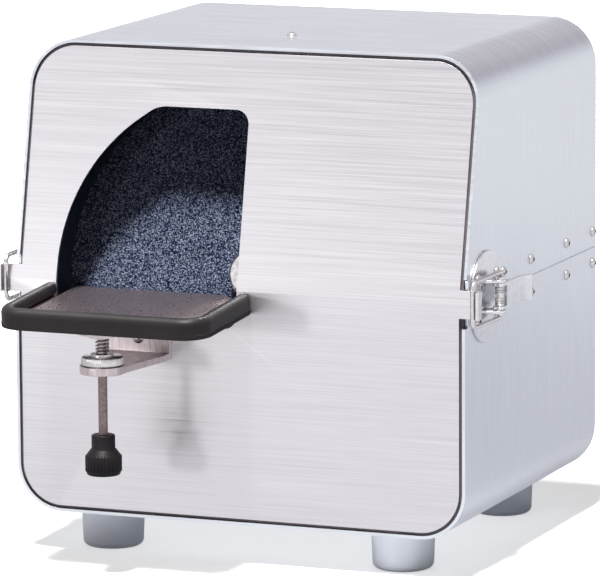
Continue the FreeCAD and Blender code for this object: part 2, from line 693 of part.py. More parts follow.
def make_front_gasket():
    body = in_casing(new_body("front_gasket"))
    edge = f"({INNER_X} - slip)"
    low = "(sheet + slip)"
    high = f"({INNER_TOP} - slip)"
    front = "panel_sheet"
    back = "flange_setback"
    extrude(body, "YZ", [[(front, low), (back, low), (back, "seam_height"),
                          (leaning(high, back), high), (leaning(high, front), high),
                          (front, "seam_height")]], f"-{edge}", f"2 * {edge}")
    corner = f"({INNER_CORNER} - slip)"
    around = box("-casing_width", "-50", "casing_width", "casing_height + 50")
    cut(body, "XZ", [around, box(f"-{edge}", low, edge, high, corner)], "-5", "casing_depth / 2")
    width = "(flange_width - slip)"
    inside = box(f"-{edge} + {width}", f"{low} + {width}", f"{edge} - {width}",
                 f"{high} - {width}", f"{corner} - {width}")
    cut(body, "XZ", [inside], "-5", "casing_depth / 2")


def make_latch(side):
    plate = in_latch(new_body(f"latch_base_{side}"), side)
    extrude(plate, "YZ", [("latch_plate_back", "0", "latch_plate_radius")], "0",
            "latch_plate_sheet")
    root = [("latch_plate_sheet / 2", "latch_pin_back - 8"),
            ("latch_pin_out + 3.8", "latch_pin_back - 3.8", "3.7"),
            ("latch_pin_out + 3.8", "latch_pin_back + 3.8", "3.7"),
            ("latch_plate_sheet / 2", "latch_pin_back + 3.8")]
    for start in ("latch_ear_gap", "-latch_ear_gap - latch_ear"):
        extrude(plate, "XY", [root], start, "latch_ear")
    cut(plate, "XY", [("latch_pin_out", "latch_pin_back", "latch_pin_radius + running")],
        "-20", "40")
    rise = "latch_screw_circle * sin(latch_screw_angle)"
    run = "latch_screw_circle * cos(latch_screw_angle)"
    spots = [(f"latch_plate_back + {way} * {run}", f"{sign} * {rise}")
             for way in (-1, 1) for sign in (-1, 1)]
    cut(plate, "YZ", [(y, z, "screw_radius + running") for y, z in spots], "-1", "5")

    pin = in_latch(new_body(f"latch_pin_{side}"), side, out="latch_pin_out",
                   back="latch_pin_back")
    end = "(latch_ear_gap + latch_ear)"
    turn(pin, "XZ", [("0", f"-{end} - 1.3"), ("3", f"-{end} - 1.3"), ("3", f"-{end}"),
                     ("latch_pin_radius", f"-{end}"), ("latch_pin_radius", end), ("3", end),
                     ("3", f"{end} + 1.3"), ("0", f"{end} + 1.3")])

    springs = in_latch(new_body(f"latch_springs_{side}"), side, out="latch_pin_out",
                       back="latch_pin_back")
    for start in ("1.2", "-5.7"):
        extrude(springs, "XY", [("0", "0", "latch_pin_radius + 1.2"),
                                ("0", "0", "latch_pin_radius + running")], start, "4.5")

    make_lever(side)
    make_bail(side)

    screws = in_latch(new_body(f"latch_screws_{side}"), side)
    for y, z in spots:
        extrude(screws, "YZ", [(y, z, "screw_radius")], "-sheet", "latch_plate_sheet + sheet + 1")
        extrude(screws, "YZ", [(y, z, "screw_head")], "latch_plate_sheet", "screw_dome")


def make_lever(side):
    lever = in_latch(new_body(f"latch_lever_{side}"), side, out="latch_pin_out",
                     back="latch_pin_back")
    half = "lever_height / 2"
    cheek = "(latch_ear_gap - slip)"
    outside = "(lever_sheet + 1)"
    hook_back = "sqrt(hook_throw * hook_throw - hook_inset * hook_inset)"
    side_plate = [("-3.8", "-3.8", "3"), (outside, "-3.8", "3"), (outside, "16"),
                  ("1", "16"), ("-3.8", f"{hook_back} + 3.5", "3")]
    for start in (f"{cheek} - lever_sheet", f"-{cheek}"):
        extrude(lever, "XY", [side_plate], start, "lever_sheet")
    length = "(lever_end - latch_pin_back)"
    face = [("1", "5"), (outside, "5"), (outside, f"{length} - 8"),
            (f"{outside} + finger_reach - 1.7", length), ("finger_reach - 0.5", f"{length} + 1"),
            ("1", f"{length} - 7.2")]
    extrude(lever, "XY", [face], f"-{half}", "lever_height")
    cut(lever, "XY", [("0", "0", "latch_pin_radius + running"),
                      ("-hook_inset", hook_back, "bail_wire + running")], "-20", "40")


def make_bail(side):
    hook_back = "sqrt(hook_throw * hook_throw - hook_inset * hook_inset)"
    start_out = "(latch_pin_out - hook_inset)"
    start_back = f"(latch_pin_back + {hook_back})"
    front = "(-bail_wire - 0.2)"
    length = f"({start_back} - {front})"
    slope = f"(-atan(({start_out} - bail_front_out) / {length}))"
    bail = in_latch(new_body(f"latch_bail_{side}"), side, out=start_out, back=start_back,
                    turn=slope)
    tall = "(bail_height / 2 - bail_wire)"
    inner = "(latch_ear_gap - slip - lever_sheet + 0.2)"
    path = [("0", inner), ("0", tall, "4"), (f"-{length}", tall, "5"),
            (f"-{length}", f"-{tall}", "5"), ("0", f"-{tall}", "4"), ("0", f"-{inner}")]
    sweep(bail, "YZ", "0", path, "XY", inner, [("0", "0", "bail_wire")])


def make_table_plate():
    body = in_table(new_body("table_plate"))
    half = "(table_width / 2)"
    grip = "(rim_strip - rim_grip)"
    front = f"({TABLE_FRONT} + {grip})"
    wide = f"({half} - {grip})"
    left = "(-opening_left + tongue_gap - table_middle)"
    right = "(opening_right - tongue_gap - table_middle)"
    corner = f"(table_corner - {grip})"
    extrude(body, "XY", [[(f"-{wide}", front, corner), (wide, front, corner),
                          (wide, "-rim_rear"), (right, "-rim_rear"), (right, "0"),
                          (f"{right} - tongue_cut", "tongue_reach"),
                          (left, "tongue_reach", "3"), (left, "-rim_rear"),
                          (f"-{wide}", "-rim_rear")]], PLATE_UNDER, "table_sheet - field_rise")
    field_front = f"({TABLE_FRONT} + 2 * rim_bulb + 1)"
    extrude(body, "XY", [[(f"{left} + field_inset", field_front, "6"),
                          (f"{right} - field_inset", field_front, "6"),
                          (f"{right} - field_inset", "-field_inset"),
                          (f"{right} - tongue_cut - field_inset", "tongue_reach - field_inset"),
                          (f"{left} + field_inset", "tongue_reach - field_inset", "3")]],
            "table_rise - field_rise", "field_rise")
    ear = [("-ear_radius", f"{PLATE_UNDER} + 0.5"), ("-ear_radius", "-ear_radius", "ear_radius - 0.5"),
           ("ear_radius", "-ear_radius", "ear_radius - 0.5"), ("ear_radius", f"{PLATE_UNDER} + 0.5")]
    for start in (f"{left} + ear_inset", f"{right} - ear_inset - ear_sheet"):
        extrude(body, "YZ", [ear], start, "ear_sheet")
    cut(body, "YZ", [("0", "0", "pivot_radius + running")], f"{left} - 1", "table_width")


def make_table_rim():
    body = in_table(new_body("table_rim"))
    half = "(table_width / 2)"
    bulb_height = "(table_rise + rim_above - rim_bulb)"
    bottom = "(table_rise - rim_below)"
    inner = f"({half} - rim_strip)"
    outer = [(f"-{half}", "-rim_rear"), (f"-{half}", TABLE_FRONT, "table_corner"),
             (half, TABLE_FRONT, "table_corner"), (half, "-rim_rear")]
    inside = [(f"-{inner}", "-rim_rear"),
              (f"-{inner}", f"{TABLE_FRONT} + rim_strip", "table_corner - rim_strip"),
              (inner, f"{TABLE_FRONT} + rim_strip", "table_corner - rim_strip"),
              (inner, "-rim_rear")]
    extrude(body, "XY", [outer + list(reversed(inside))], bottom, f"{bulb_height} - {bottom}")
    line = f"({half} - rim_bulb)"
    bend = "(table_corner - rim_bulb)"
    path = [(f"-{line}", "-rim_rear"), (f"-{line}", f"{TABLE_FRONT} + rim_bulb", bend),
            (line, f"{TABLE_FRONT} + rim_bulb", bend), (line, "-rim_rear")]
    sweep(body, "XY", bulb_height, path, "XZ", "-rim_rear",
          [(f"-{line}", bulb_height, "rim_bulb")])
    grip = "(rim_strip - rim_grip)"
    slot_half = f"({half} - {grip})"
    slot_corner = f"(table_corner - {grip})"
    slot = [(f"-{slot_half}", "0"), (f"-{slot_half}", f"{TABLE_FRONT} + {grip}", slot_corner),
            (slot_half, f"{TABLE_FRONT} + {grip}", slot_corner), (slot_half, "0")]
    cut(body, "XY", [slot], PLATE_UNDER, "table_sheet - field_rise")


def make_table_socket():
    body = new_body("table_socket")
    ceiling = f"({PLATE_UNDER} - 4.2)"
    under_rim = "(table_rise - rim_below - slip)"
    turn(body, "XZ", [("0", PLATE_UNDER), ("socket_radius - 4", PLATE_UNDER),
                      ("socket_radius - 4", under_rim), ("socket_radius", under_rim),
                      ("socket_radius", f"{under_rim} - 1.5"),
                      ("socket_mouth", f"{PLATE_UNDER} - socket_depth + 1"),
                      ("socket_mouth", f"{PLATE_UNDER} - socket_depth"),
                      ("socket_bore", f"{PLATE_UNDER} - socket_depth"),
                      ("socket_bore", ceiling), ("0", ceiling)])
    spot = f"vector(rod_x; {FRONT_Y} + pivot_setback + {ROD_IN_TABLE} * cos(table_tilt);"\
        f" foot_height + pivot_height + {ROD_IN_TABLE} * sin(table_tilt))"
    body.setExpression("Placement", formula(
        f"placement({spot}; rotation(vector(1; 0; 0); table_tilt))"))


def make_table_hinge():
    rod = new_body("pivot_rod")
    extrude(rod, "YZ", [("pivot_setback", "pivot_height", "pivot_radius")],
            "-opening_left - 7.5", "opening_left + opening_right + 15")
    in_casing(rod)
    body = in_casing(new_body("hinge_brackets"))
    low = "(pivot_height - ear_radius)"
    high = "(pivot_height + ear_radius)"
    back = "(pivot_setback + ear_radius)"
    for way, edge in ((-1, "-opening_left"), (1, "opening_right")):
        start = f"{edge} + {way} * 4.5"
        foot = box(f"{start} - 1", "panel_sheet", f"{start} + 1", back)
        flat = box(f"{start}", "panel_sheet", f"{start} + {way} * 9", "panel_sheet + 2")
        extrude(body, "XY", [foot], low, f"{high} - {low}")
        extrude(body, "XY", [flat], low, f"{high} - {low}")
    cut(body, "YZ", [("pivot_setback", "pivot_height", "pivot_radius + running")],
        "-casing_width / 2", "casing_width")


def make_table_bracket():
    body = place(new_body("table_bracket"), x="rod_x")
    half = "(bracket_width / 2)"
    low = "bracket_bottom"
    extrude(body, "XZ", [[(f"-{half}", low), (half, low), (half, "bracket_top", "4"),
                          (f"-{half}", "bracket_top", "4")]], "-bracket_upright",
            "bracket_upright")
    taper = "(boss_radius - 1)"
    extrude(body, "XY", [[(f"-{half}", "0"), (half, "0"), (half, "-9", "4"),
                          (taper, "-rod_reach"), (f"-{taper}", "-rod_reach"),
                          (f"-{half}", "-9", "4")]], low, "bracket_sheet")
    extrude(body, "XY", [("0", "-rod_reach", "boss_radius")], low, "boss_height")
    cut(body, "XY", [("0", "-rod_reach", "bush_radius")], f"{low} - 1", "boss_height + 2")
    cut(body, "XZ", [("0", "bracket_screw_height", "screw_radius + running")], "-20", "40")


def make_table_support():
    screw = place(new_body("bracket_screw"), x="rod_x", y="(-bracket_upright)",
                  z="bracket_screw_height", angle="90")
    turn(screw, "XZ", domed_screw("screw_radius", "screw_head", "screw_dome",
                                  "bracket_upright + panel_sheet + 4"))
    bush = at_rod(new_body("threaded_bush"))
    extrude(bush, "XY", [("0", "0", "bush_radius - 0.02"), ("0", "0", "rod_radius + running")],
            "bracket_bottom", "boss_height")
    nut = at_rod(new_body("lock_nut"))
    turn(nut, "XZ", [("rod_radius + running", NUT_BOTTOM), ("nut_radius - 0.8", NUT_BOTTOM),
                     ("nut_radius", f"{NUT_BOTTOM} + 0.8"),
                     ("nut_radius", f"{COLLAR_BOTTOM} - 0.8"),
                     ("nut_radius - 0.8", COLLAR_BOTTOM), ("rod_radius + running", COLLAR_BOTTOM)])
    collar = at_rod(new_body("spring_collar"))
    extrude(collar, "XY", [("0", "0", "collar_radius"), ("0", "0", "rod_radius + running")],
            COLLAR_BOTTOM, "collar_height")
    spring = at_rod(new_body("lock_spring"))
    extrude(spring, "XY", [("0", "0", "spring_radius"),
                           ("0", "0", "spring_radius - spring_wire")],
            SPRING_BOTTOM, f"rod_top - {SPRING_BOTTOM}")
    rod = at_rod(new_body("adjusting_rod"))
    extrude(rod, "XY", [("0", "0", "rod_radius")], "knob_top - knob_height + 6",
            "rod_top - knob_top + knob_height - 6")
    pad = at_rod(new_body("swivel_pad"))
    turn(pad, "XZ", [("0", "rod_top"), ("pad_radius", "rod_top"),
                     ("pad_radius", "rod_top + pad_height - 1.2", "1"),
                     ("pad_radius * 0.5", "rod_top + pad_height - 0.2", "1"),
                     ("0", "rod_top + pad_height")])


def make_knob():
    knob = at_rod(new_body("adjusting_knob"))
    bottom = "(knob_top - knob_height)"
    shoulder = "(knob_top - knob_neck)"
    turn(knob, "XZ", [("0", bottom), ("knob_radius - 1.5", bottom),
                      ("knob_radius", f"{bottom} + 1.5"), ("knob_radius", f"{shoulder} - 1.5"),
                      ("knob_radius - 1.5", shoulder), ("neck_radius", f"{shoulder} + 0.8"),
                      ("neck_radius", "knob_top - 1"), ("neck_radius - 1", "knob_top"),
                      ("rod_radius", "knob_top"), ("rod_radius", f"{bottom} + 6"),
                      ("0", f"{bottom} + 6")])
    flute = cut(knob, "XY", [("knob_radius + flute_radius * 0.35", "0", "flute_radius")],
                f"{bottom} - 1", "knob_height - knob_neck + 2")
    repeat_round(knob, flute, flute.Profile[0], "flute_count")


def make_bulkhead():
    body = in_drive(new_body("bulkhead"))
    edge = f"({INNER_X} - slip)"
    low = f"((sheet + slip - disc_axis + {BULKHEAD_BACK} * sin(lean_angle)) / cos(lean_angle))"
    high = bulkhead_top()
    extrude(body, "XZ", [box(f"-{edge}", low, edge, high, "casing_corner")],
            "bulkhead_setback", "bulkhead_sheet")
    for way in (-1, 1):
        inside = f"{way} * ({edge} - bulkhead_sheet)"
        outside = f"{way} * {edge}"
        extrude(body, "XY", [box(inside, "bulkhead_setback", outside,
                                 "bulkhead_setback + bulkhead_flange")],
                "-side_flange_height / 2", "side_flange_height")
    run = "bulkhead_flange"
    tab = [("bulkhead_setback", high),
           (f"bulkhead_setback + {run} * cos(lean_angle)", f"{high} + {run} * sin(lean_angle)"),
           (f"bulkhead_setback + {run} * cos(lean_angle) + bulkhead_sheet * sin(lean_angle)",
            f"{high} + {run} * sin(lean_angle) - bulkhead_sheet * cos(lean_angle)"),
           ("bulkhead_setback + bulkhead_sheet * sin(lean_angle)",
            f"{high} - bulkhead_sheet * cos(lean_angle)")]
    extrude(body, "YZ", [tab], "-40", "80")
    drop = "(drain_height - disc_axis) / cos(lean_angle) + bulkhead_setback * tan(lean_angle)"
    rise = "(spray_height - disc_axis) / cos(lean_angle) + bulkhead_setback * tan(lean_angle)"
    holes = [("0", "0", "nose_radius + slip"), ("0", drop, "drain_radius + 1"),
             ("water_x", rise, "spray_radius + 1")]
    for number in range(4):
        holes.append(motor_bolt_spot(number) + ("motor_bolt + running",))
    for way in (-1, 1):
        holes.append(box(f"{way} * foot_x - 8", f"{low} - 2", f"{way} * foot_x + 8", f"{low} + 8"))
    cut(body, "XZ", holes, "bulkhead_setback - 2", "bulkhead_sheet + 4")
    side_screw_holes(body)


def side_screw_holes(body):
    """Threaded holes in the bulkhead's side flanges and its top tab, square to the casing."""
    for sign in (-1, 1):
        depth = "(seam_screw_first - disc_setback)"
        rise = f"(seam_height + {sign} * seam_row - disc_axis)"
        along = f"{depth} * cos(lean_angle) - {rise} * sin(lean_angle)"
        up = f"{depth} * sin(lean_angle) + {rise} * cos(lean_angle)"
        cut(body, "YZ", [(along, up, "screw_radius + running")], "-casing_width / 2",
            "casing_width")
    reach = "(screw_radius + 0.3)"
    along = "(bulkhead_setback + top_screw_back * cos(lean_angle))"
    up = f"({bulkhead_top()} + top_screw_back * sin(lean_angle))"
    slot = []
    for back, tall in ((-1, -5), (1, -5), (1, 5), (-1, 5)):
        slot.append((f"{along} + {back} * {reach} * cos(lean_angle) - {tall} * sin(lean_angle)",
                     f"{up} + {back} * {reach} * sin(lean_angle) + {tall} * cos(lean_angle)"))
    cut(body, "YZ", [slot], f"-{reach}", f"2 * {reach}")


def motor_bolt_spot(number):
    """Place of a motor bolt in the drive's front view."""
    angle = 45 + 90 * number
    return (f"motor_bolt_circle * cos({angle})", f"motor_bolt_circle * sin({angle})")


def make_disc():
    carrier = in_drive(new_body("disc_carrier"))
    rim = "(disc_radius - carrier_edge)"
    plate_back = "(disc_sheet + carrier_sheet)"
    turn(carrier, "XY", [("shaft_radius", "disc_sheet"), (rim, "disc_sheet"),
                         (rim, plate_back), ("hub_radius + 12", plate_back),
                         ("hub_radius", f"{plate_back} + 5"), ("hub_radius", "hub_end"),
                         ("shaft_radius", "hub_end")])
    disc = in_drive(new_body("abrasive_disc"))
    turn(disc, "XY", [("clamp_screw + 1", "0"), ("disc_radius", "0"),
                      ("disc_radius", "disc_sheet"), ("clamp_screw + 1", "disc_sheet")])
    clamp = in_drive(new_body("clamp_flange"))
    turn(clamp, "XY", [("clamp_screw + running", "0"), ("clamp_radius", "0"),
                       ("clamp_radius", "-clamp_height + 2"),
                       ("clamp_radius - 2", "-clamp_height"),
                       ("clamp_screw + 3", "-clamp_height"),
                       ("clamp_screw + 3", "-clamp_height + 5"),
                       ("clamp_screw + running", "-clamp_height + 5")])
    screw = in_drive(new_body("centre_screw"))
    turn(screw, "XY", [("0", "14"), ("clamp_screw", "14"),
                       ("clamp_screw", "-clamp_height + 5"),
                       ("clamp_screw + 2.5", "-clamp_height + 5"),
                       ("clamp_screw + 2.5", "-clamp_height + 0.8"),
                       ("0", "-clamp_height + 0.8")])
    cut(screw, "XZ", [hexagon("0", "0", "2.5")], "-clamp_height", "3.5")


def make_rotor():
    shaft = in_drive(new_body("rotor_shaft"))
    end = f"({SHIELD_BACK} + fan_width + 2)"
    turn(shaft, "XY", [("clamp_screw + running", "disc_sheet"), ("shaft_radius", "disc_sheet"),
                       ("shaft_radius", end), ("0", end), ("0", "18"),
                       ("clamp_screw + running", "18")])
    core = in_drive(new_body("rotor_core"))
    start = f"({MOTOR_FRONT} + (motor_length - rotor_length) / 2)"
    turn(core, "XY", [("shaft_radius", start), ("rotor_radius - 2", start),
                      ("rotor_radius", f"{start} + 2"),
                      ("rotor_radius", f"{start} + rotor_length - 2"),
                      ("rotor_radius - 2", f"{start} + rotor_length"),
                      ("shaft_radius", f"{start} + rotor_length")])
    fan = in_drive(new_body("cooling_fan"))
    front = f"({SHIELD_BACK} + 2)"
    turn(fan, "XY", [("shaft_radius", front), ("fan_radius", front),
                     ("fan_radius", f"{front} + 1.5"), ("14", f"{front} + 1.5"),
                     ("14", f"{front} + fan_width - 2"), ("shaft_radius", f"{front} + fan_width - 2")])
    blade = extrude(fan, "XZ", [box("12", "-1", "fan_radius - 1", "1")], f"{front} + 1",
                    "fan_width - 3")
    repeat_round(fan, blade, blade.Profile[0], "fan_blades")


def make_motor():
    front = in_drive(new_body("motor_front_shield"))
    seal_front = f"({BULKHEAD_BACK} - 2)"
    rim = "(motor_radius + fin_height)"
    turn(front, "XY", [("nose_radius", BULKHEAD_BACK + " - 4"), ("nose_radius", BULKHEAD_BACK),
                       (rim, BULKHEAD_BACK), (rim, MOTOR_FRONT),
                       ("bearing_radius + 6", MOTOR_FRONT),
                       ("bearing_radius + 6", f"{BEARING_FRONT} + bearing_width"),
                       ("bearing_radius", f"{BEARING_FRONT} + bearing_width"),
                       ("bearing_radius", BEARING_FRONT), ("shaft_radius + 2", BEARING_FRONT),
                       ("shaft_radius + 2", f"{seal_front} + seal_width"),
                       ("seal_radius", f"{seal_front} + seal_width"),
                       ("seal_radius", BULKHEAD_BACK + " - 4")])
    cut(front, "XZ", [motor_bolt_spot(n) + ("motor_bolt + running",) for n in range(4)],
        BULKHEAD_BACK, "shield_sheet")
    seal = in_drive(new_body("shaft_seal"))
    turn(seal, "XY", [("shaft_radius + running", seal_front),
                      ("seal_radius - running", seal_front),
                      ("seal_radius - running", f"{seal_front} + seal_width - 0.5"),
                      ("shaft_radius + running", f"{seal_front} + seal_width - 0.5")])
    housing = in_drive(new_body("motor_housing"))
    extrude(housing, "XZ", [("0", "0", "motor_radius"), ("0", "0", "motor_radius - motor_wall")],
            MOTOR_FRONT, "motor_length")
    fin = extrude(housing, "XZ", [box("motor_radius - 1", "-1", "motor_radius + fin_height", "1")],
                  f"{MOTOR_FRONT} + 6", "motor_length - 12")
    repeat_round(housing, fin, fin.Profile[0], "fin_count")
    stator = in_drive(new_body("stator_core"))
    start = f"({MOTOR_FRONT} + (motor_length - rotor_length) / 2)"
    extrude(stator, "XZ", [("0", "0", "motor_radius - motor_wall - 0.02"),
                           ("0", "0", "rotor_radius + air_gap")], start, "rotor_length")
    rear = in_drive(new_body("motor_rear_shield"))
    pocket = f"({SHIELD_BACK} - bearing_width - 3)"
    turn(rear, "XY", [("bearing_radius + 6", pocket), ("bearing_radius + 6", MOTOR_BACK),
                      (rim, MOTOR_BACK), (rim, f"{MOTOR_BACK} + shield_sheet"),
                      ("bearing_radius + 6", f"{MOTOR_BACK} + shield_sheet"),
                      ("bearing_radius + 6", SHIELD_BACK), ("shaft_radius + 2", SHIELD_BACK),
                      ("shaft_radius + 2", f"{SHIELD_BACK} - 3"),
                      ("bearing_radius", f"{SHIELD_BACK} - 3"), ("bearing_radius", pocket)])
    bearings = in_drive(new_body("bearings"))
    for start in (BEARING_FRONT, f"({SHIELD_BACK} - 3 - bearing_width)"):
        extrude(bearings, "XZ", [("0", "0", "bearing_radius - 0.02"),
                                 ("0", "0", "shaft_radius + running")], start, "bearing_width")
    bolts = in_drive(new_body("motor_screws"))
    for number in range(4):
        x, z = motor_bolt_spot(number)
        extrude(bolts, "XZ", [(x, z, "motor_bolt")], "bulkhead_setback - 1",
                "bulkhead_sheet + shield_sheet + 1")
        extrude(bolts, "XZ", [(x, z, "motor_bolt * 1.8")], "bulkhead_setback - 3", "3")


def make_water():
    spray = in_casing(new_body("spray_pipe"))
    back = "(disc_setback + bulkhead_setback + 50)"
    path = [("water_x", back), ("water_x", "spray_setback", "spray_bend"),
            ("spray_end", "spray_setback")]
    sweep(spray, "XY", "spray_height", path, "XZ", back,
          [("water_x", "spray_height", "spray_radius")])
    hose = in_casing(new_body("water_hose"))
    valve_front = "(casing_depth - 62)"
    run = [(f"{back} - 14", "spray_height"), (f"{back} + 20", "spray_height", "hose_bend"),
           (f"{valve_front} - 20", "valve_height", "hose_bend"), (valve_front, "valve_height")]
    sweep(hose, "YZ", "water_x", run, "XZ", f"{back} - 14",
          [("water_x", "spray_height", "spray_radius + hose_wall"),
           ("water_x", "spray_height", "spray_radius + running")])
    valve = place(new_body("water_valve"), x="water_x", z="valve_height")
    turn(valve, "XY", [("0", f"{valve_front} - 12"), ("spray_radius", f"{valve_front} - 12"),
                       ("spray_radius", f"{valve_front}"), ("10", f"{valve_front}"),
                       ("10", "casing_depth - 24"), ("valve_thread + 3", "casing_depth - 24"),
                       ("valve_thread + 3", "casing_depth - sheet"),
                       ("valve_thread", "casing_depth - sheet"),
                       ("valve_thread", "casing_depth"),
                       ("valve_thread + port_flange", "casing_depth"),
                       ("valve_thread + port_flange", "casing_depth + port_sheet"),
                       ("valve_thread - port_relief", "casing_depth + port_sheet"),
                       ("valve_thread - port_relief", "casing_depth + port_sheet + 1"),
                       ("valve_thread", "casing_depth + port_sheet + 1"),
                       ("valve_thread", "casing_depth + valve_reach"),
                       ("valve_thread - 3", "casing_depth + valve_reach"),
                       ("valve_thread - 3", "casing_depth - sheet"), ("0", "casing_depth - sheet")])
    extrude(valve, "XY", [box("-14", f"{valve_front} + 2", "14", f"{valve_front} + 28", "3")],
            "-30", "46")
    drain = place(new_body("drain_pipe"), z="drain_height")
    start = "(disc_setback - 7)"
    extrude(drain, "XZ", [("0", "0", "drain_radius"), ("0", "0", "drain_radius - drain_wall")],
            start, f"casing_depth + drain_reach - {start}")
    extrude(drain, "XZ", [("0", "0", "drain_radius + port_flange"),
                          ("0", "0", "drain_radius - drain_wall")], "casing_depth", "port_sheet")
    cut(drain, "XZ", [("0", "0", "drain_radius + 1"), ("0", "0", "drain_radius - port_relief")],
        "casing_depth + port_sheet", "1")


def make_power():
    body = place(new_body("power_inlet"), x="inlet_x", z="inlet_height")
    half = "(inlet_width / 2)"
    tall = "(inlet_tall / 2)"
    back = "(casing_depth + inlet_flange)"
    extrude(body, "XZ", [box(f"-{half}", f"-{tall}", half, tall, "3")], "casing_depth",
            "inlet_flange")
    extrude(body, "XZ", [box(f"-{half} + 2 + slip", f"-{tall} + 4 + slip", f"{half} - 2 - slip",
                             f"{tall} - 4 - slip")], "casing_depth - inlet_body + inlet_flange",
            "inlet_body")
    cut(body, "XZ", [box("-socket_wide / 2", "-socket_tall / 2 - 13", "socket_wide / 2",
                         "socket_tall / 2 - 13", "2")], f"{back} - socket_deep", "socket_deep + 1")
    for x, z in (("-7", "-15"), ("7", "-15"), ("0", "-11")):
        extrude(body, "XZ", [box(f"{x} - 1", f"{z} - 2", f"{x} + 1", f"{z} + 2")],
                f"{back} - socket_deep - 1", "socket_deep - 2")
    cut(body, "XZ", [box("-rocker_tall / 2 - slip", "13 - rocker_wide / 2 - slip",
                         "rocker_tall / 2 + slip", "13 + rocker_wide / 2 + slip")],
        f"{back} - 12", "13")
    rocker = place(new_body("switch_rocker"), x="inlet_x", y=f"({back})", z="(inlet_height + 13)")
    rise = "rocker_tall / 2 * tan(rocker_tilt)"
    extrude(rocker, "XY", [[("-rocker_tall / 2 + 0.8", "-5", "2"), ("rocker_tall / 2 - 0.8", "-5", "2"),
                            ("rocker_tall / 2 - 0.2", f"1.4 - {rise}"), ("0", "0.2", "6"),
                            ("-rocker_tall / 2 + 0.2", f"1.4 + {rise}")]],
            "-rocker_wide / 2", "rocker_wide")


make_lower_shell()
make_upper_hood()
make_seam_strips()
make_casing_screws()
make_rear_panel()
make_feet()
make_foot_screws()
make_front_panel()
make_front_gasket()
for side in ("left", "right"):
    make_latch(side)
make_table_plate()
make_table_rim()
make_table_socket()
make_table_hinge()
make_table_bracket()
make_table_support()
make_knob()
make_bulkhead()
make_disc()
make_rotor()
make_motor()
make_water()
make_power()
doc.recompute()

broken = [f"{item.Name} {item.State}" for item in doc.Objects
          if "Invalid" in item.State or "Error" in item.State]
for item in pieces:
    if item.Shape.isNull() or not item.Shape.isValid():
        broken.append(f"{item.Name} has no valid shape")
if broken:
    raise RuntimeError("\n".join(broken))

os.makedirs("parts", exist_ok=True)
whole = FreeCAD.BoundBox()
for item in pieces:
    item.Shape.exportStep(os.path.join("parts", f"{item.Name}.step"))
    whole.add(item.Shape.optimalBoundingBox(False, False))
print(len(pieces), "pieces, corners",
      [round(n, 2) for n in (whole.XMin, whole.YMin, whole.ZMin)],
      [round(n, 2) for n in (whole.XMax, whole.YMax, whole.ZMax)])
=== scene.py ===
"""Looks of the dental model trimmer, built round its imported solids.

Metres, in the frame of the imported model: x to the right, y to the rear, z up from the floor.
Small sizes are written in millimetres and multiplied by MM.
"""
import json
import math

import bmesh
import bpy
from mathutils import Matrix, Vector


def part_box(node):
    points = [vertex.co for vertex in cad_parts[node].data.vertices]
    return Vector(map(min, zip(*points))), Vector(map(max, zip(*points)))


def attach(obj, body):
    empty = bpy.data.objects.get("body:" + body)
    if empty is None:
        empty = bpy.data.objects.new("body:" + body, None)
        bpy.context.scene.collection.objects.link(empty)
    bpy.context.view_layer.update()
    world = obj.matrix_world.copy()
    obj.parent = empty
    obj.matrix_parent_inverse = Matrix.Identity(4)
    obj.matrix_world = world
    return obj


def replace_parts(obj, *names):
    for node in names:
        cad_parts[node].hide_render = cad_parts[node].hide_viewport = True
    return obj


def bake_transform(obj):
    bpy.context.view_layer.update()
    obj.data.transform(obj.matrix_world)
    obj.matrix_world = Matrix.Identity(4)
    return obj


MM = 0.001

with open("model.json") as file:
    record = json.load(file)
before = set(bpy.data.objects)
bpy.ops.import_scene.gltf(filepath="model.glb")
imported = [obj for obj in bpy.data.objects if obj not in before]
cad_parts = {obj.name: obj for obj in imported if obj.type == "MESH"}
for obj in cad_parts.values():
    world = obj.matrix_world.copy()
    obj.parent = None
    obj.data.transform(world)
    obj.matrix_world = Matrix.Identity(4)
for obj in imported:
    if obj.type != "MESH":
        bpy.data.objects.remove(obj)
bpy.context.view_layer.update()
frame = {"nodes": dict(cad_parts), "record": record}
scene = bpy.context.scene
scene.view_settings.view_transform = "Standard"
NODES = frame["nodes"]
BODIES = frame["record"]["behaviour"]["bodies"]
BODY_OF = {node: body for body, members in BODIES.items() for node in members}
SLOT_OF = {name: item.data.materials[0].name for name, item in NODES.items()}

# Camera, as measured against the photograph
PHOTO_WIDTH = 600
FOCAL_PIXELS = 5578
SENSOR = 36
VIEW_AZIMUTH = math.radians(22.05)
VIEW_ELEVATION = math.radians(9.52)
VIEW_ROLL = math.radians(-0.36)
VIEW_PLACE = Vector((1.308, -3.22125, 0.742))

# The table leans with this slope about its pivot
TABLE_SLOPE = math.radians(3.4)
TABLE_WIDTH = 139 * MM
PIVOT_RISE = 7.2 * MM

# The rim's front and the rear ends of its sides, from the pivot, and the radius of its corners
RIM_FRONT = -84.8 * MM
RIM_REAR = -9.5 * MM
RIM_BEND = 17 * MM

# Edges that turn by more than this are broken
EDGE_TURN = math.radians(40)

# Flat faces larger than this, in square metres, meet in a crisp bend
BROAD_FACE = 0.006

# The seam's edges are longer than this, and lie within this height
SEAM_LENGTH = 120 * MM
SEAM_FALL = 1 * MM

# Domed screw heads: radius, height, and half of the socket's width across its flats
HEAD_RADIUS = 3.3 * MM
HEAD_DOME = 2 * MM
HEAD_SOCKET = 1.25 * MM

# Height of the water inlet's axis
INLET_HEIGHT = 270 * MM

# Periods per metre of the soft clouds in steel, and of those in cast and moulded surfaces
STEEL_CLOUDS = (7, 7, 7)
CAST_CLOUDS = (25, 25, 25)


# Materials

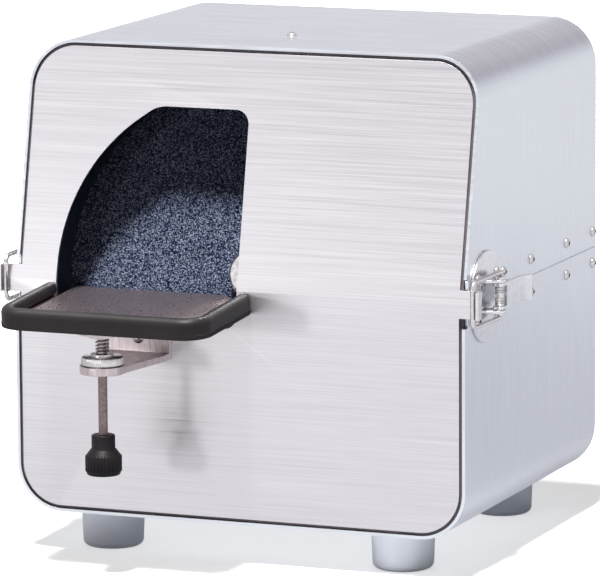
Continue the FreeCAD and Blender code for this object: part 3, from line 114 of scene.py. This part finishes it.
def node(tree, kind, **inputs):
    """A shader node with values or links given for its inputs by name."""
    item = tree.nodes.new(kind)
    for name, given in inputs.items():
        socket = item.inputs[name.replace("_", " ")]
        if isinstance(given, bpy.types.NodeSocket):
            tree.links.new(given, socket)
        else:
            socket.default_value = given
    return item


def new_material(name, colour, metallic, roughness):
    material = bpy.data.materials.new(name)
    material.use_nodes = True
    tree = material.node_tree
    shader = tree.nodes["Principled BSDF"]
    shader.inputs["Base Color"].default_value = (*colour, 1)
    shader.inputs["Metallic"].default_value = metallic
    shader.inputs["Roughness"].default_value = roughness
    return material, tree, shader


def grain(tree, per_metre, detail=2.0):
    """Noise over the object's own coordinates, with so many periods per metre on each axis."""
    coordinates = tree.nodes.new("ShaderNodeTexCoord")
    mapping = node(tree, "ShaderNodeMapping", Vector=coordinates.outputs["Object"])
    mapping.inputs["Scale"].default_value = per_metre
    texture = node(tree, "ShaderNodeTexNoise", Vector=mapping.outputs["Vector"], Scale=1.0,
                   Detail=detail, Roughness=0.6)
    return texture.outputs["Fac"]


def spread(tree, factor, low, high, start=0.3, end=0.7):
    """The factor between start and end, spread over low to high."""
    item = node(tree, "ShaderNodeMapRange", Value=factor)
    item.inputs["From Min"].default_value = start
    item.inputs["From Max"].default_value = end
    item.inputs["To Min"].default_value = low
    item.inputs["To Max"].default_value = high
    return item.outputs["Result"]


def blend(tree, factor, first, second):
    item = tree.nodes.new("ShaderNodeMix")
    item.data_type = "RGBA"
    tree.links.new(factor, item.inputs["Factor"])
    for socket, given in ((item.inputs["A"], first), (item.inputs["B"], second)):
        if isinstance(given, bpy.types.NodeSocket):
            tree.links.new(given, socket)
        else:
            socket.default_value = (*given, 1)
    return item.outputs["Result"]


def emboss(tree, shader, height, distance, strength=1.0):
    item = node(tree, "ShaderNodeBump", Height=height, Distance=distance, Strength=strength)
    tree.links.new(item.outputs["Normal"], shader.inputs["Normal"])


def brushed(name, dark, light, roughness, lines, relief=0.008 * MM, clouds=0.2, metallic=1.0):
    """Steel with fine drawn lines: lines gives the periods per metre on each axis."""
    material, tree, shader = new_material(name, light, metallic, roughness)
    fine = grain(tree, lines, 3.0)
    broad = grain(tree, STEEL_CLOUDS, 2.0)
    drawn = blend(tree, spread(tree, fine, 0, 1), dark, light)
    cloudy = blend(tree, spread(tree, broad, 0, clouds), drawn, dark)
    tree.links.new(cloudy, shader.inputs["Base Color"])
    tree.links.new(spread(tree, fine, roughness - 0.05, roughness + 0.07),
                   shader.inputs["Roughness"])
    emboss(tree, shader, fine, relief)
    return material


def cast(name, dark, light, metallic, roughness, per_metre, relief, gloss=0.5):
    """A surface with an even grain: cast metal, moulded plastic or rubber."""
    material, tree, shader = new_material(name, light, metallic, roughness)
    shader.inputs["Specular IOR Level"].default_value = gloss
    fine = grain(tree, (per_metre,) * 3, 3.0)
    broad = grain(tree, CAST_CLOUDS, 2.0)
    tree.links.new(blend(tree, spread(tree, broad, 0, 1), dark, light),
                   shader.inputs["Base Color"])
    tree.links.new(spread(tree, fine, roughness - 0.08, roughness + 0.08),
                   shader.inputs["Roughness"])
    emboss(tree, shader, fine, relief)
    return material


def abrasive():
    """Dark blue bond with pale grains of a size that the eye still tells apart."""
    material, tree, shader = new_material("abrasive", (0.014, 0.02, 0.045), 0.0, 0.9)
    shader.inputs["Specular IOR Level"].default_value = 0
    coordinates = tree.nodes.new("ShaderNodeTexCoord")
    cells = node(tree, "ShaderNodeTexVoronoi", Vector=coordinates.outputs["Object"], Scale=1700.0)
    tint = tree.nodes.new("ShaderNodeSeparateColor")
    tree.links.new(cells.outputs["Color"], tint.inputs["Color"])
    share = spread(tree, tint.outputs["Red"], 0, 1, 0.35, 1.0)
    steep = node(tree, "ShaderNodeMath", Value=share)
    steep.operation = "POWER"
    steep.inputs[1].default_value = 1.7
    colour = blend(tree, steep.outputs["Value"], (0.006, 0.012, 0.034), (0.28, 0.32, 0.43))
    tree.links.new(colour, shader.inputs["Base Color"])
    emboss(tree, shader, cells.outputs["Distance"], 0.25 * MM, 0.8)
    return material


FINISH = {
    # The casing steel's bluish tint is a painted reflection of bluish surroundings on its sides
    "casing_steel": brushed("casing_steel", (0.62, 0.64, 0.68), (0.74, 0.77, 0.81), 0.3,
                            (14, 1500, 14)),
    "panel_steel": brushed("panel_steel", (0.57, 0.555, 0.58), (0.68, 0.665, 0.69), 0.36,
                           (10, 1300, 1300)),
    "table_steel": brushed("table_steel", (0.17, 0.125, 0.125), (0.34, 0.26, 0.255), 0.4,
                           (900, 22, 900), metallic=0.9),
    "plain_steel": brushed("plain_steel", (0.46, 0.4, 0.41), (0.64, 0.57, 0.58), 0.3,
                           (500, 500, 60)),
    "latch_steel": brushed("latch_steel", (0.62, 0.62, 0.64), (0.76, 0.76, 0.78), 0.2,
                           (300, 300, 300)),
    "bright_steel": brushed("bright_steel", (0.56, 0.54, 0.54), (0.72, 0.7, 0.7), 0.22,
                            (400, 400, 400)),
    "foot_rubber": cast("foot_rubber", (0.58, 0.61, 0.68), (0.66, 0.69, 0.76), 0.0, 0.6, 900,
                        0.03 * MM),
    "black_rubber": cast("black_rubber", (0.008, 0.006, 0.007), (0.015, 0.012, 0.013), 0.0, 0.5,
                         1300, 0.05 * MM, 0.25),
    "knob_plastic": cast("knob_plastic", (0.006, 0.005, 0.006), (0.012, 0.01, 0.012), 0.0, 0.48,
                         1600, 0.03 * MM, 0.12),
    "black_plastic": cast("black_plastic", (0.016, 0.016, 0.017), (0.028, 0.028, 0.03), 0.0,
                          0.42, 1100, 0.03 * MM),
    "abrasive": abrasive(),
    "cast_aluminium": cast("cast_aluminium", (0.42, 0.43, 0.44), (0.56, 0.57, 0.58), 0.9, 0.5,
                           700, 0.08 * MM),
    "brass": cast("brass", (0.62, 0.44, 0.18), (0.74, 0.55, 0.25), 1.0, 0.3, 600, 0.02 * MM),
    "hose_plastic": cast("hose_plastic", (0.35, 0.42, 0.47), (0.5, 0.57, 0.62), 0.0, 0.3, 300,
                         0.02 * MM),
    "drain_plastic": cast("drain_plastic", (0.11, 0.115, 0.12), (0.16, 0.165, 0.17), 0.0, 0.45,
                          800, 0.04 * MM),
}

# Solids that look other than the rest of their slot: the wet chamber's wall, painted dark navy as
# the shade it lies in behind the opening, and the seal
OWN_FINISH = {
    # Painted shade: the chamber wall is coloured dark navy to stand for the shadow beside the disc
    # inside the opening
    "bulkhead": cast("chamber_wall_painted_shade", (0.045, 0.06, 0.11), (0.09, 0.11, 0.17), 0.3, 0.6, 900,
                     0.03 * MM, 0.2),
    "front_gasket": cast("seal_rubber", (0.09, 0.075, 0.085), (0.14, 0.12, 0.135), 0.0, 0.55, 1100,
                         0.03 * MM, 0.3),
}


# Building blocks

def new_piece(name, bm, node_name, slot=None, sharp=38, rides=True):
    """Finishes a mesh as a piece that stands for a CAD node, or rides beside it."""
    bmesh.ops.recalc_face_normals(bm, faces=bm.faces)
    mesh = bpy.data.meshes.new(name)
    bm.to_mesh(mesh)
    bm.free()
    for face in mesh.polygons:
        face.use_smooth = True
        face.material_index = 0
    mesh.set_sharp_from_angle(angle=math.radians(sharp))
    mesh.materials.clear()
    mesh.materials.append(FINISH[slot or SLOT_OF[node_name]])
    item = bpy.data.objects.new(name, mesh)
    scene.collection.objects.link(item)
    if rides:
        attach(item, BODY_OF[node_name])
    return item


def lathe(bm, matrix, profile, count, closed=True):
    """Rings round the z axis of matrix. A profile entry is (radius, height), and the radius may
    be a function of angle and height."""
    rings = []
    for radius, height in profile:
        ring = []
        for step in range(count):
            angle = 2 * math.pi * step / count
            reach = radius(angle, height) if callable(radius) else radius
            spot = Vector((reach * math.cos(angle), reach * math.sin(angle), height))
            ring.append(bm.verts.new(matrix @ spot))
        rings.append(ring)
    for lower, upper in zip(rings, rings[1:]):
        for step in range(count):
            after = (step + 1) % count
            bm.faces.new((lower[step], lower[after], upper[after], upper[step]))
    if closed:
        bm.faces.new(rings[0])
        bm.faces.new(rings[-1])
    return rings


def tube(bm, spots, radius, sides, closed=False, up=Vector((0, 0, 1))):
    """A round section along spots."""
    rings = []
    count = len(spots)
    for step, spot in enumerate(spots):
        before = spots[(step - 1) % count] if closed or step else spot
        after = spots[(step + 1) % count] if closed or step < count - 1 else spot
        ahead = (after - before).normalized()
        side = ahead.cross(up).normalized()
        top = side.cross(ahead)
        ring = []
        for turn in range(sides):
            angle = 2 * math.pi * turn / sides
            ring.append(bm.verts.new(spot + radius * (math.cos(angle) * side
                                                      + math.sin(angle) * top)))
        rings.append(ring)
    pairs = list(zip(rings, rings[1:]))
    if closed:
        pairs.append((rings[-1], rings[0]))
    for lower, upper in pairs:
        for turn in range(sides):
            after = (turn + 1) % sides
            bm.faces.new((lower[turn], lower[after], upper[after], upper[turn]))
    if not closed:
        bm.faces.new(rings[0])
        bm.faces.new(rings[-1])


def coil(bm, foot, height, radius, wire, turns, steps=20, sides=7):
    """A helix of wire that stands on foot, with its end turns laid flat."""
    spots = []
    for step in range(int(turns * steps) + 1):
        along = step / steps
        share = min(1, max(0, (along - 0.6) / (turns - 1.2)))
        angle = 2 * math.pi * along
        spots.append(foot + Vector((radius * math.cos(angle), radius * math.sin(angle),
                                    wire + share * (height - 2 * wire))))
    tube(bm, spots, wire, sides)


def hexagon(apothem):
    def reach(angle, height):
        return apothem / math.cos((angle + math.pi / 6) % (math.pi / 3) - math.pi / 6)
    return reach


def screw_head(bm, spot, axis):
    """A domed head with a hexagon socket, on the surface at spot."""
    turned = axis.to_track_quat("Z", "Y").to_matrix().to_4x4()
    socket = hexagon(HEAD_SOCKET)
    edge = 0.12 * MM
    steepest = math.sin(math.radians(75))
    profile = [(HEAD_RADIUS * 0.6, -1.0 * MM), (HEAD_RADIUS * 0.97, -0.05 * MM),
               (HEAD_RADIUS, edge)]
    for step in range(1, 6):
        angle = math.radians(15 * step)
        profile.append((HEAD_RADIUS * math.cos(angle),
                        edge + (HEAD_DOME - edge) * math.sin(angle) / steepest))
    profile = [entry for entry in profile if entry[0] > HEAD_SOCKET * 1.3]
    profile += [(socket, HEAD_DOME * 0.96), (socket, -0.6 * MM), (HEAD_SOCKET * 0.3, -0.8 * MM)]
    lathe(bm, Matrix.Translation(spot) @ turned, profile, 24)


def islands(node_name):
    """Lowest and highest corner of each separate solid in a CAD node."""
    bm = bmesh.new()
    bm.from_mesh(NODES[node_name].data)
    bmesh.ops.remove_doubles(bm, verts=bm.verts, dist=0.001 * MM)
    seen = set()
    boxes = []
    for start in bm.verts:
        if start in seen:
            continue
        seen.add(start)
        waiting = [start]
        found = []
        while waiting:
            vert = waiting.pop()
            found.append(vert.co.copy())
            for edge in vert.link_edges:
                other = edge.other_vert(vert)
                if other not in seen:
                    seen.add(other)
                    waiting.append(other)
        low = Vector([min(co[axis] for co in found) for axis in range(3)])
        high = Vector([max(co[axis] for co in found) for axis in range(3)])
        boxes.append((low, high))
    bm.free()
    return boxes


def rounded(node_name, width, seam=0):
    """The CAD solid again, with its sharp edges broken by width, and by seam where it meets the
    other half of the casing on its outside."""
    bm = bmesh.new()
    bm.from_mesh(NODES[node_name].data)
    bmesh.ops.remove_doubles(bm, verts=bm.verts, dist=0.001 * MM)
    bmesh.ops.dissolve_limit(bm, angle_limit=math.radians(0.5), verts=bm.verts, edges=bm.edges)
    if seam:
        outside = max(abs(vert.co.x) for vert in bm.verts) - 0.01 * MM
        edges = [edge for edge in bm.edges
                 if edge.is_manifold and edge.calc_length() > SEAM_LENGTH
                 and edge.calc_face_angle() > EDGE_TURN
                 and min(abs(vert.co.x) for vert in edge.verts) > outside
                 and abs(edge.verts[0].co.z - edge.verts[1].co.z) < SEAM_FALL]
        bmesh.ops.bevel(bm, geom=edges, offset=seam, segments=1, affect="EDGES")
    edges = [edge for edge in bm.edges
             if edge.is_manifold and edge.calc_face_angle() > EDGE_TURN]
    bmesh.ops.bevel(bm, geom=edges, offset=width, segments=2, affect="EDGES",
                    clamp_overlap=True)
    broad = {index for index, edge in enumerate(bm.edges) if edge.is_manifold
             and min(face.calc_area() for face in edge.link_faces) > BROAD_FACE}
    piece = new_piece(f"{node_name}_finished", bm, node_name, sharp=50)
    sharp = piece.data.attributes["sharp_edge"].data
    for index in broad:
        sharp[index].value = True
    weighting = piece.modifiers.new("weighted", "WEIGHTED_NORMAL")
    weighting.keep_sharp = True
    weighting.weight = 100
    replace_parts(piece, node_name)


def middle(low, high):
    return (low + high) / 2


# Camera, lamps and surroundings

def add_camera():
    back = Vector((math.sin(VIEW_AZIMUTH) * math.cos(VIEW_ELEVATION),
                   -math.cos(VIEW_AZIMUTH) * math.cos(VIEW_ELEVATION), math.sin(VIEW_ELEVATION)))
    level = Vector((math.cos(VIEW_AZIMUTH), math.sin(VIEW_AZIMUTH), 0))
    upright = back.cross(level)
    right = math.cos(VIEW_ROLL) * level + math.sin(VIEW_ROLL) * upright
    up = math.cos(VIEW_ROLL) * upright - math.sin(VIEW_ROLL) * level
    lens = bpy.data.cameras.new("camera")
    lens.sensor_width = SENSOR
    lens.lens = FOCAL_PIXELS * SENSOR / PHOTO_WIDTH
    lens.clip_end = 30
    camera = bpy.data.objects.new("camera", lens)
    turned = Matrix((right, up, back)).transposed().to_4x4()
    camera.matrix_world = Matrix.Translation(VIEW_PLACE) @ turned
    scene.collection.objects.link(camera)
    scene.camera = camera


def add_lamp(name, kind, spot, target, energy, size, colour=(1, 1, 1)):
    light = bpy.data.lights.new(name, kind)
    light.energy = energy
    light.color = colour
    if kind == "SUN":
        light.angle = size
    else:
        light.shape = "DISK"
        light.size = size
    item = bpy.data.objects.new(name, light)
    item.location = spot
    aim = Vector(target) - Vector(spot)
    item.rotation_euler = aim.to_track_quat("-Z", "Y").to_euler()
    item.visible_camera = False
    scene.collection.objects.link(item)


def light_path(tree):
    """One for rays that see the surroundings, and one for the camera's rays alone."""
    path = tree.nodes.new("ShaderNodeLightPath")
    either = node(tree, "ShaderNodeMath")
    either.operation = "MAXIMUM"
    tree.links.new(path.outputs["Is Camera Ray"], either.inputs[0])
    tree.links.new(path.outputs["Is Glossy Ray"], either.inputs[1])
    any_of = node(tree, "ShaderNodeMath")
    any_of.operation = "MAXIMUM"
    tree.links.new(either.outputs["Value"], any_of.inputs[0])
    tree.links.new(path.outputs["Is Transmission Ray"], any_of.inputs[1])
    return any_of.outputs["Value"], path.outputs["Is Camera Ray"]


def add_world():
    """White for what is seen, with a darker ceiling edge behind, and little light of its own."""
    world = bpy.data.worlds.new("studio")
    world.use_nodes = True
    scene.world = world
    tree = world.node_tree
    tree.nodes.clear()
    seen, from_camera = light_path(tree)
    coordinates = tree.nodes.new("ShaderNodeTexCoord")
    axes = tree.nodes.new("ShaderNodeSeparateXYZ")
    tree.links.new(coordinates.outputs["Generated"], axes.inputs["Vector"])
    ramp = tree.nodes.new("ShaderNodeValToRGB")
    stops = [(0.05, (0.96, 0.98, 1)), (0.17, (0.86, 0.87, 0.93)), (0.28, (0.36, 0.31, 0.36)),
             (0.42, (0.62, 0.58, 0.62)), (0.65, (0.9, 0.92, 0.95))]
    ramp.color_ramp.elements[0].position = stops[0][0]
    ramp.color_ramp.elements[0].color = (*stops[0][1], 1)
    ramp.color_ramp.elements[1].position = stops[-1][0]
    ramp.color_ramp.elements[1].color = (*stops[-1][1], 1)
    for place, colour in stops[1:-1]:
        ramp.color_ramp.elements.new(place).color = (*colour, 1)
    tree.links.new(axes.outputs["Z"], ramp.inputs["Fac"])
    rear = spread(tree, axes.outputs["Y"], 0, 1, 0.2, 0.7)
    studio = blend(tree, rear, (0.87, 0.865, 0.89), ramp.outputs["Color"])
    colour = blend(tree, from_camera, studio, (1, 1, 1))
    shown = node(tree, "ShaderNodeBackground", Color=colour, Strength=1.0)
    soft = node(tree, "ShaderNodeBackground", Strength=0.1)
    mix = node(tree, "ShaderNodeMixShader", Fac=seen)
    tree.links.new(soft.outputs["Background"], mix.inputs[1])
    tree.links.new(shown.outputs["Background"], mix.inputs[2])
    output = tree.nodes.new("ShaderNodeOutputWorld")
    tree.links.new(mix.outputs["Shader"], output.inputs["Surface"])


def distance(tree, centre, near, far):
    """0 within near of centre, rising to 1 at far."""
    coordinates = tree.nodes.new("ShaderNodeTexCoord")
    away = node(tree, "ShaderNodeVectorMath", Vector=coordinates.outputs["Object"])
    away.operation = "DISTANCE"
    away.inputs[1].default_value = centre
    return spread(tree, away.outputs["Value"], 0, 1, near, far)


def rightward(tree, low, high):
    """0 on the left of the way the front panel mirrors, and 1 on its right."""
    coordinates = tree.nodes.new("ShaderNodeTexCoord")
    across = node(tree, "ShaderNodeVectorMath", Vector=coordinates.outputs["Object"])
    across.operation = "DOT_PRODUCT"
    across.inputs[1].default_value = (0.93, -0.37, 0)
    return spread(tree, across.outputs["Value"], 0, 1, low, high)


def add_floor():
    """Pale floor that shows white and keeps the shadow. It lights the object from near by only,
    and its mirror image is darker to the left and to the rear right."""
    near_front = (-0.08, -0.05, 0)
    rear_right = (0.4, 0.5, 0)
    bm = bmesh.new()
    bmesh.ops.create_grid(bm, x_segments=2, y_segments=2, size=14)
    mesh = bpy.data.meshes.new("floor")
    bm.to_mesh(mesh)
    bm.free()
    floor = bpy.data.objects.new("floor", mesh)
    scene.collection.objects.link(floor)
    material = bpy.data.materials.new("floor")
    material.use_nodes = True
    tree = material.node_tree
    tree.nodes.clear()
    seen, from_camera = light_path(tree)
    bounce = blend(tree, distance(tree, near_front, 0.22, 0.45), (0.6, 0.6, 0.61),
                   (0.06, 0.06, 0.06))
    matt = blend(tree, seen, bounce, (0.1, 0.1, 0.1))
    paint = node(tree, "ShaderNodeBsdfDiffuse",
                 Color=blend(tree, from_camera, matt, (0.8, 0.8, 0.8)))
    mirrored = blend(tree, distance(tree, rear_right, 0.25, 0.8), (0.44, 0.45, 0.53),
                     (0.85, 0.86, 0.89))
    mirrored = blend(tree, rightward(tree, -0.4, 0.3), (0.5, 0.49, 0.52), mirrored)
    glow = node(tree, "ShaderNodeEmission", Strength=seen,
                Color=blend(tree, from_camera, mirrored, (0.55, 0.55, 0.55)))
    both = tree.nodes.new("ShaderNodeAddShader")
    tree.links.new(paint.outputs["BSDF"], both.inputs[0])
    tree.links.new(glow.outputs["Emission"], both.inputs[1])
    output = tree.nodes.new("ShaderNodeOutputMaterial")
    tree.links.new(both.outputs["Shader"], output.inputs["Surface"])
    mesh.materials.append(material)


add_camera()
add_world()
add_floor()
add_lamp("overhead", "SUN", (0, -0.268, 1), (0, 0, 0), 9, math.radians(8), (1, 0.99, 0.97))
add_lamp("front_left", "AREA", (-0.97, -1.84, 0.26), (-0.05, -0.1, 0.15), 2.8, 0.22)

for item in NODES.values():
    for place in item.material_slots:
        place.material = OWN_FINISH.get(item.name, FINISH[SLOT_OF[item.name]])


# Fasteners

def make_screw_heads():
    bm = bmesh.new()
    for low, high in islands("casing_screws"):
        spot = middle(low, high)
        if abs(spot.x) < 10 * MM:
            axis = Vector((0, 0, 1))
            spot.z = high.z - HEAD_DOME
        else:
            axis = Vector((math.copysign(1, spot.x), 0, 0))
            spot.x = (high.x if spot.x > 0 else low.x) - HEAD_DOME * axis.x
        screw_head(bm, spot, axis)
    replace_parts(new_piece("screw_heads", bm, "casing_screws"), "casing_screws")


def make_latch_details(side, way):
    """Screw heads, wound springs, plate and lever of one latch."""
    coil_radius = 2.65 * MM
    wire = 0.5 * MM
    bm = bmesh.new()
    for low, high in islands(f"latch_screws_{side}"):
        spot = middle(low, high)
        spot.x = (high.x if way > 0 else low.x) - way * HEAD_DOME
        screw_head(bm, spot, Vector((way, 0, 0)))
    heads = new_piece(f"latch_screw_heads_{side}", bm, f"latch_screws_{side}")
    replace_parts(heads, f"latch_screws_{side}")
    bm = bmesh.new()
    for low, high in islands(f"latch_springs_{side}"):
        foot = middle(low, high)
        foot.z = low.z
        coil(bm, foot, high.z - low.z, coil_radius, wire, turns=4, sides=6)
    coils = new_piece(f"latch_coils_{side}", bm, f"latch_springs_{side}")
    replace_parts(coils, f"latch_springs_{side}")
    for name, width in (("latch_base", 0.25), ("latch_lever", 0.35)):
        rounded(f"{name}_{side}", width * MM)


# Table and its screw

def make_rod():
    """The adjusting rod with its thread cut as a helix."""
    low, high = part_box("adjusting_rod")
    radius = (high.x - low.x) / 2
    pitch = 1.0 * MM
    depth = 0.3 * MM
    plain = 8 * MM

    def thread(angle, height):
        turn = (height / pitch - angle / (2 * math.pi)) % 1
        return radius - depth * abs(2 * turn - 1)

    length = high.z - low.z
    profile = [(radius - depth, 0), (radius - depth, plain)]
    count = int((length - plain - 1 * MM) / (pitch / 4))
    for step in range(1, count):
        profile.append((thread, plain + step * pitch / 4))
    profile.append((radius - depth, length - 0.4 * MM))
    profile.append((radius - 2 * depth, length))
    spot = middle(low, high)
    spot.z = low.z
    bm = bmesh.new()
    lathe(bm, Matrix.Translation(spot), profile, 16)
    rod = new_piece("threaded_rod", bm, "adjusting_rod", slot="table_steel", sharp=60)
    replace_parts(rod, "adjusting_rod")


def make_knob():
    """Moulded knob with fine flutes between two plain collars."""
    low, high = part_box("adjusting_knob")
    wide = (high.x - low.x) / 2
    tall = high.z - low.z
    neck = 7.3 * MM
    bore = 3 * MM
    shoulder = tall - 9 * MM
    flutes = 30
    flute_depth = 0.55 * MM

    def fluted(angle, height):
        return wide - flute_depth * (0.5 + 0.5 * math.cos(flutes * angle)) ** 2

    body = shoulder - 4 * MM
    profile = [(bore, 1.2 * MM), (wide - 4 * MM, 0.6 * MM), (wide - 3.2 * MM, 0),
               (wide - 1.6 * MM, 0.1 * MM), (wide - 1.0 * MM, 0.6 * MM),
               (wide - 0.9 * MM, 1.8 * MM), (fluted, 2.4 * MM), (fluted, body * 0.55),
               (fluted, body - 0.4 * MM), (wide - 0.75 * MM, body + 0.4 * MM),
               (neck + 0.9 * MM, shoulder - 0.4 * MM), (neck, shoulder + 0.6 * MM),
               (neck, tall - 0.9 * MM), (neck - 0.3 * MM, tall - 0.25 * MM),
               (neck - 1.0 * MM, tall), (bore + 0.2 * MM, tall), (bore, tall - 0.8 * MM)]
    spot = middle(low, high)
    spot.z = low.z
    bm = bmesh.new()
    lathe(bm, Matrix.Translation(spot), profile, flutes * 6)
    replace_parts(new_piece("fluted_knob", bm, "adjusting_knob", sharp=50), "adjusting_knob")


def make_nut():
    """Lock nut with a straight knurl round its edge."""
    low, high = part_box("lock_nut")
    wide = (high.x - low.x) / 2
    tall = high.z - low.z
    bore = 3.05 * MM
    edge = 0.7 * MM
    teeth = 72
    tooth_depth = 0.32 * MM

    def knurl(angle, height):
        return wide - tooth_depth * (0.5 - 0.5 * math.cos(teeth * angle))

    profile = [(bore, 0), (wide - edge, 0), (wide - 0.35 * MM, 0.3 * MM), (knurl, edge),
               (knurl, tall - edge), (wide - 0.35 * MM, tall - 0.3 * MM), (wide - edge, tall),
               (bore, tall)]
    spot = middle(low, high)
    spot.z = low.z
    bm = bmesh.new()
    rings = lathe(bm, Matrix.Translation(spot), profile, teeth * 4, closed=False)
    count = len(rings[0])
    for step in range(count):
        after = (step + 1) % count
        bm.faces.new((rings[-1][step], rings[-1][after], rings[0][after], rings[0][step]))
    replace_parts(new_piece("knurled_nut", bm, "lock_nut", sharp=50), "lock_nut")


def make_spring():
    """Wound spring between the lock nut and the table's cup."""
    low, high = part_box("lock_spring")
    wire = 0.6 * MM
    foot = middle(low, high)
    foot.z = low.z
    bm = bmesh.new()
    coil(bm, foot, high.z - low.z, (high.x - low.x) / 2 - wire, wire, turns=5.5, steps=24, sides=8)
    piece = new_piece("lock_coil", bm, "lock_spring", rides=False)
    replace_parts(piece, "lock_spring")
    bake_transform(piece)


def table_matrix():
    """The table's own frame: its pivot, its middle and its slope."""
    low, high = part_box("table_rim")
    rod_low, rod_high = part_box("pivot_rod")
    pivot = middle(rod_low, rod_high)
    return Matrix.Translation((middle(low, high).x, pivot.y, pivot.z)) @ Matrix.Rotation(
        TABLE_SLOPE, 4, "X")


def rim_path(spacing):
    """Points round the outside of the rim's front and sides, each with its outward direction.
    A run has a start and an end, or the middle and the first angle of a quarter turn."""
    half = TABLE_WIDTH / 2
    corner = RIM_FRONT + RIM_BEND
    runs = [(Vector((-half, RIM_REAR, 0)), Vector((-half, corner, 0))),
            (Vector((-half + RIM_BEND, corner, 0)), math.pi),
            (Vector((-half + RIM_BEND, RIM_FRONT, 0)), Vector((half - RIM_BEND, RIM_FRONT, 0))),
            (Vector((half - RIM_BEND, corner, 0)), 1.5 * math.pi),
            (Vector((half, corner, 0)), Vector((half, RIM_REAR, 0)))]
    spots = []
    for start, end in runs:
        if isinstance(end, float):
            count = round(RIM_BEND * math.pi / 2 / spacing)
            for step in range(1, count):
                angle = end + math.pi / 2 * step / count
                out = Vector((math.cos(angle), math.sin(angle), 0))
                spots.append((start + RIM_BEND * out, out))
        else:
            count = round((end - start).length / spacing)
            ahead = (end - start).normalized()
            out = Vector((ahead.y, -ahead.x, 0))
            for step in range(count + 1):
                spots.append((start + (end - start) * step / count, out))
    return spots


def make_rim_details():
    """A row of small moulded rings along the rim's lower edge, with a fine bead above it."""
    matrix = table_matrix()
    ring_radius = 1.0 * MM
    ring_height = 3.9 * MM
    ring_wire = 0.3 * MM
    bead_height = 5.6 * MM
    bead_radius = 0.25 * MM
    corners = 10
    bm = bmesh.new()
    for spot, out in rim_path(2.3 * MM):
        along = Vector((-out.y, out.x, 0))
        centre = spot + Vector((0, 0, ring_height))
        loop = []
        for step in range(corners):
            angle = 2 * math.pi * step / corners
            around = math.cos(angle) * along + math.sin(angle) * Vector((0, 0, 1))
            loop.append(matrix @ (centre + ring_radius * around))
        tube(bm, loop, ring_wire, 5, closed=True, up=matrix.to_3x3() @ out)
    new_piece("rim_rings", bm, "table_rim")
    bm = bmesh.new()
    bead = [matrix @ (spot + Vector((0, 0, bead_height))) for spot, out in rim_path(3 * MM)]
    tube(bm, bead, bead_radius, 6)
    new_piece("rim_bead", bm, "table_rim")


def make_plate_ridges():
    """Fine rounded ridges on the plate's raised field, from its front to the tongue's end."""
    matrix = table_matrix()
    bm = bmesh.new()
    left = -57.4 * MM
    right = 55.4 * MM
    front = -74.2 * MM
    rear = 17 * MM
    bend = 6 * MM
    cut_off = 16 * MM
    cut_start = -2.6 * MM
    cut_run = rear + 2 * MM
    pitch = 1.9 * MM
    count = int((right - left) / pitch)
    section = [(-0.5 * MM, -0.05 * MM), (-0.3 * MM, 0.34 * MM), (0, 0.48 * MM),
               (0.3 * MM, 0.34 * MM), (0.5 * MM, -0.05 * MM)]
    for step in range(count + 1):
        x = left + (right - left - count * pitch) / 2 + step * pitch
        corner = max(0, bend - min(x - left, right - x))
        start = front + bend - math.sqrt(bend * bend - corner * corner)
        end = min(rear, cut_start + (right - x) * cut_run / cut_off)
        lines = []
        for y in (start, end):
            lines.append([bm.verts.new(matrix @ Vector((x + across, y, PIVOT_RISE + rise)))
                          for across, rise in section])
        for first in range(len(section) - 1):
            bm.faces.new((lines[0][first], lines[0][first + 1],
                          lines[1][first + 1], lines[1][first]))
        for line in lines:
            bm.faces.new(line)
        bm.faces.new((lines[0][0], lines[0][-1], lines[1][-1], lines[1][0]))
    # The ridges take plain steel, lighter than the plate's table steel, so the plate between them
    # reads darker: painted shade in the grooves
    new_piece("plate_ridges", bm, "table_plate", slot="plain_steel", sharp=60)


# Rear connections

def make_inlet_thread():
    """Thread on the water inlet, behind the casing."""
    low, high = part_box("water_valve")
    radius = 13.2 * MM
    pitch = 1.8 * MM
    depth = 0.3 * MM
    length = 11 * MM
    from_end = 1 * MM

    def thread(angle, height):
        turn = (height / pitch - angle / (2 * math.pi)) % 1
        return radius + depth - 2 * depth * abs(2 * turn - 1)

    profile = [(radius - depth, 0)]
    for step in range(1, int(length / (pitch / 5))):
        profile.append((thread, step * pitch / 5))
    profile.append((radius - depth, length))
    turned = Matrix.Rotation(math.radians(-90), 4, "X")
    foot = (middle(low, high).x, high.y - length - from_end, INLET_HEIGHT)
    place = Matrix.Translation(foot)
    bm = bmesh.new()
    lathe(bm, place @ turned, profile, 32, closed=False)
    new_piece("inlet_thread", bm, "water_valve", sharp=70)


make_screw_heads()
for side, way in (("left", -1), ("right", 1)):
    make_latch_details(side, way)
make_rod()
make_knob()
make_nut()
make_spring()
make_rim_details()
make_plate_ridges()
make_inlet_thread()
for name, width, seam in (("front_panel", 0.35, 0), ("upper_hood", 0.4, 0.45),
                          ("lower_shell", 0.4, 0.45), ("table_bracket", 0.5, 0)):
    rounded(name, width * MM, seam=seam * MM)
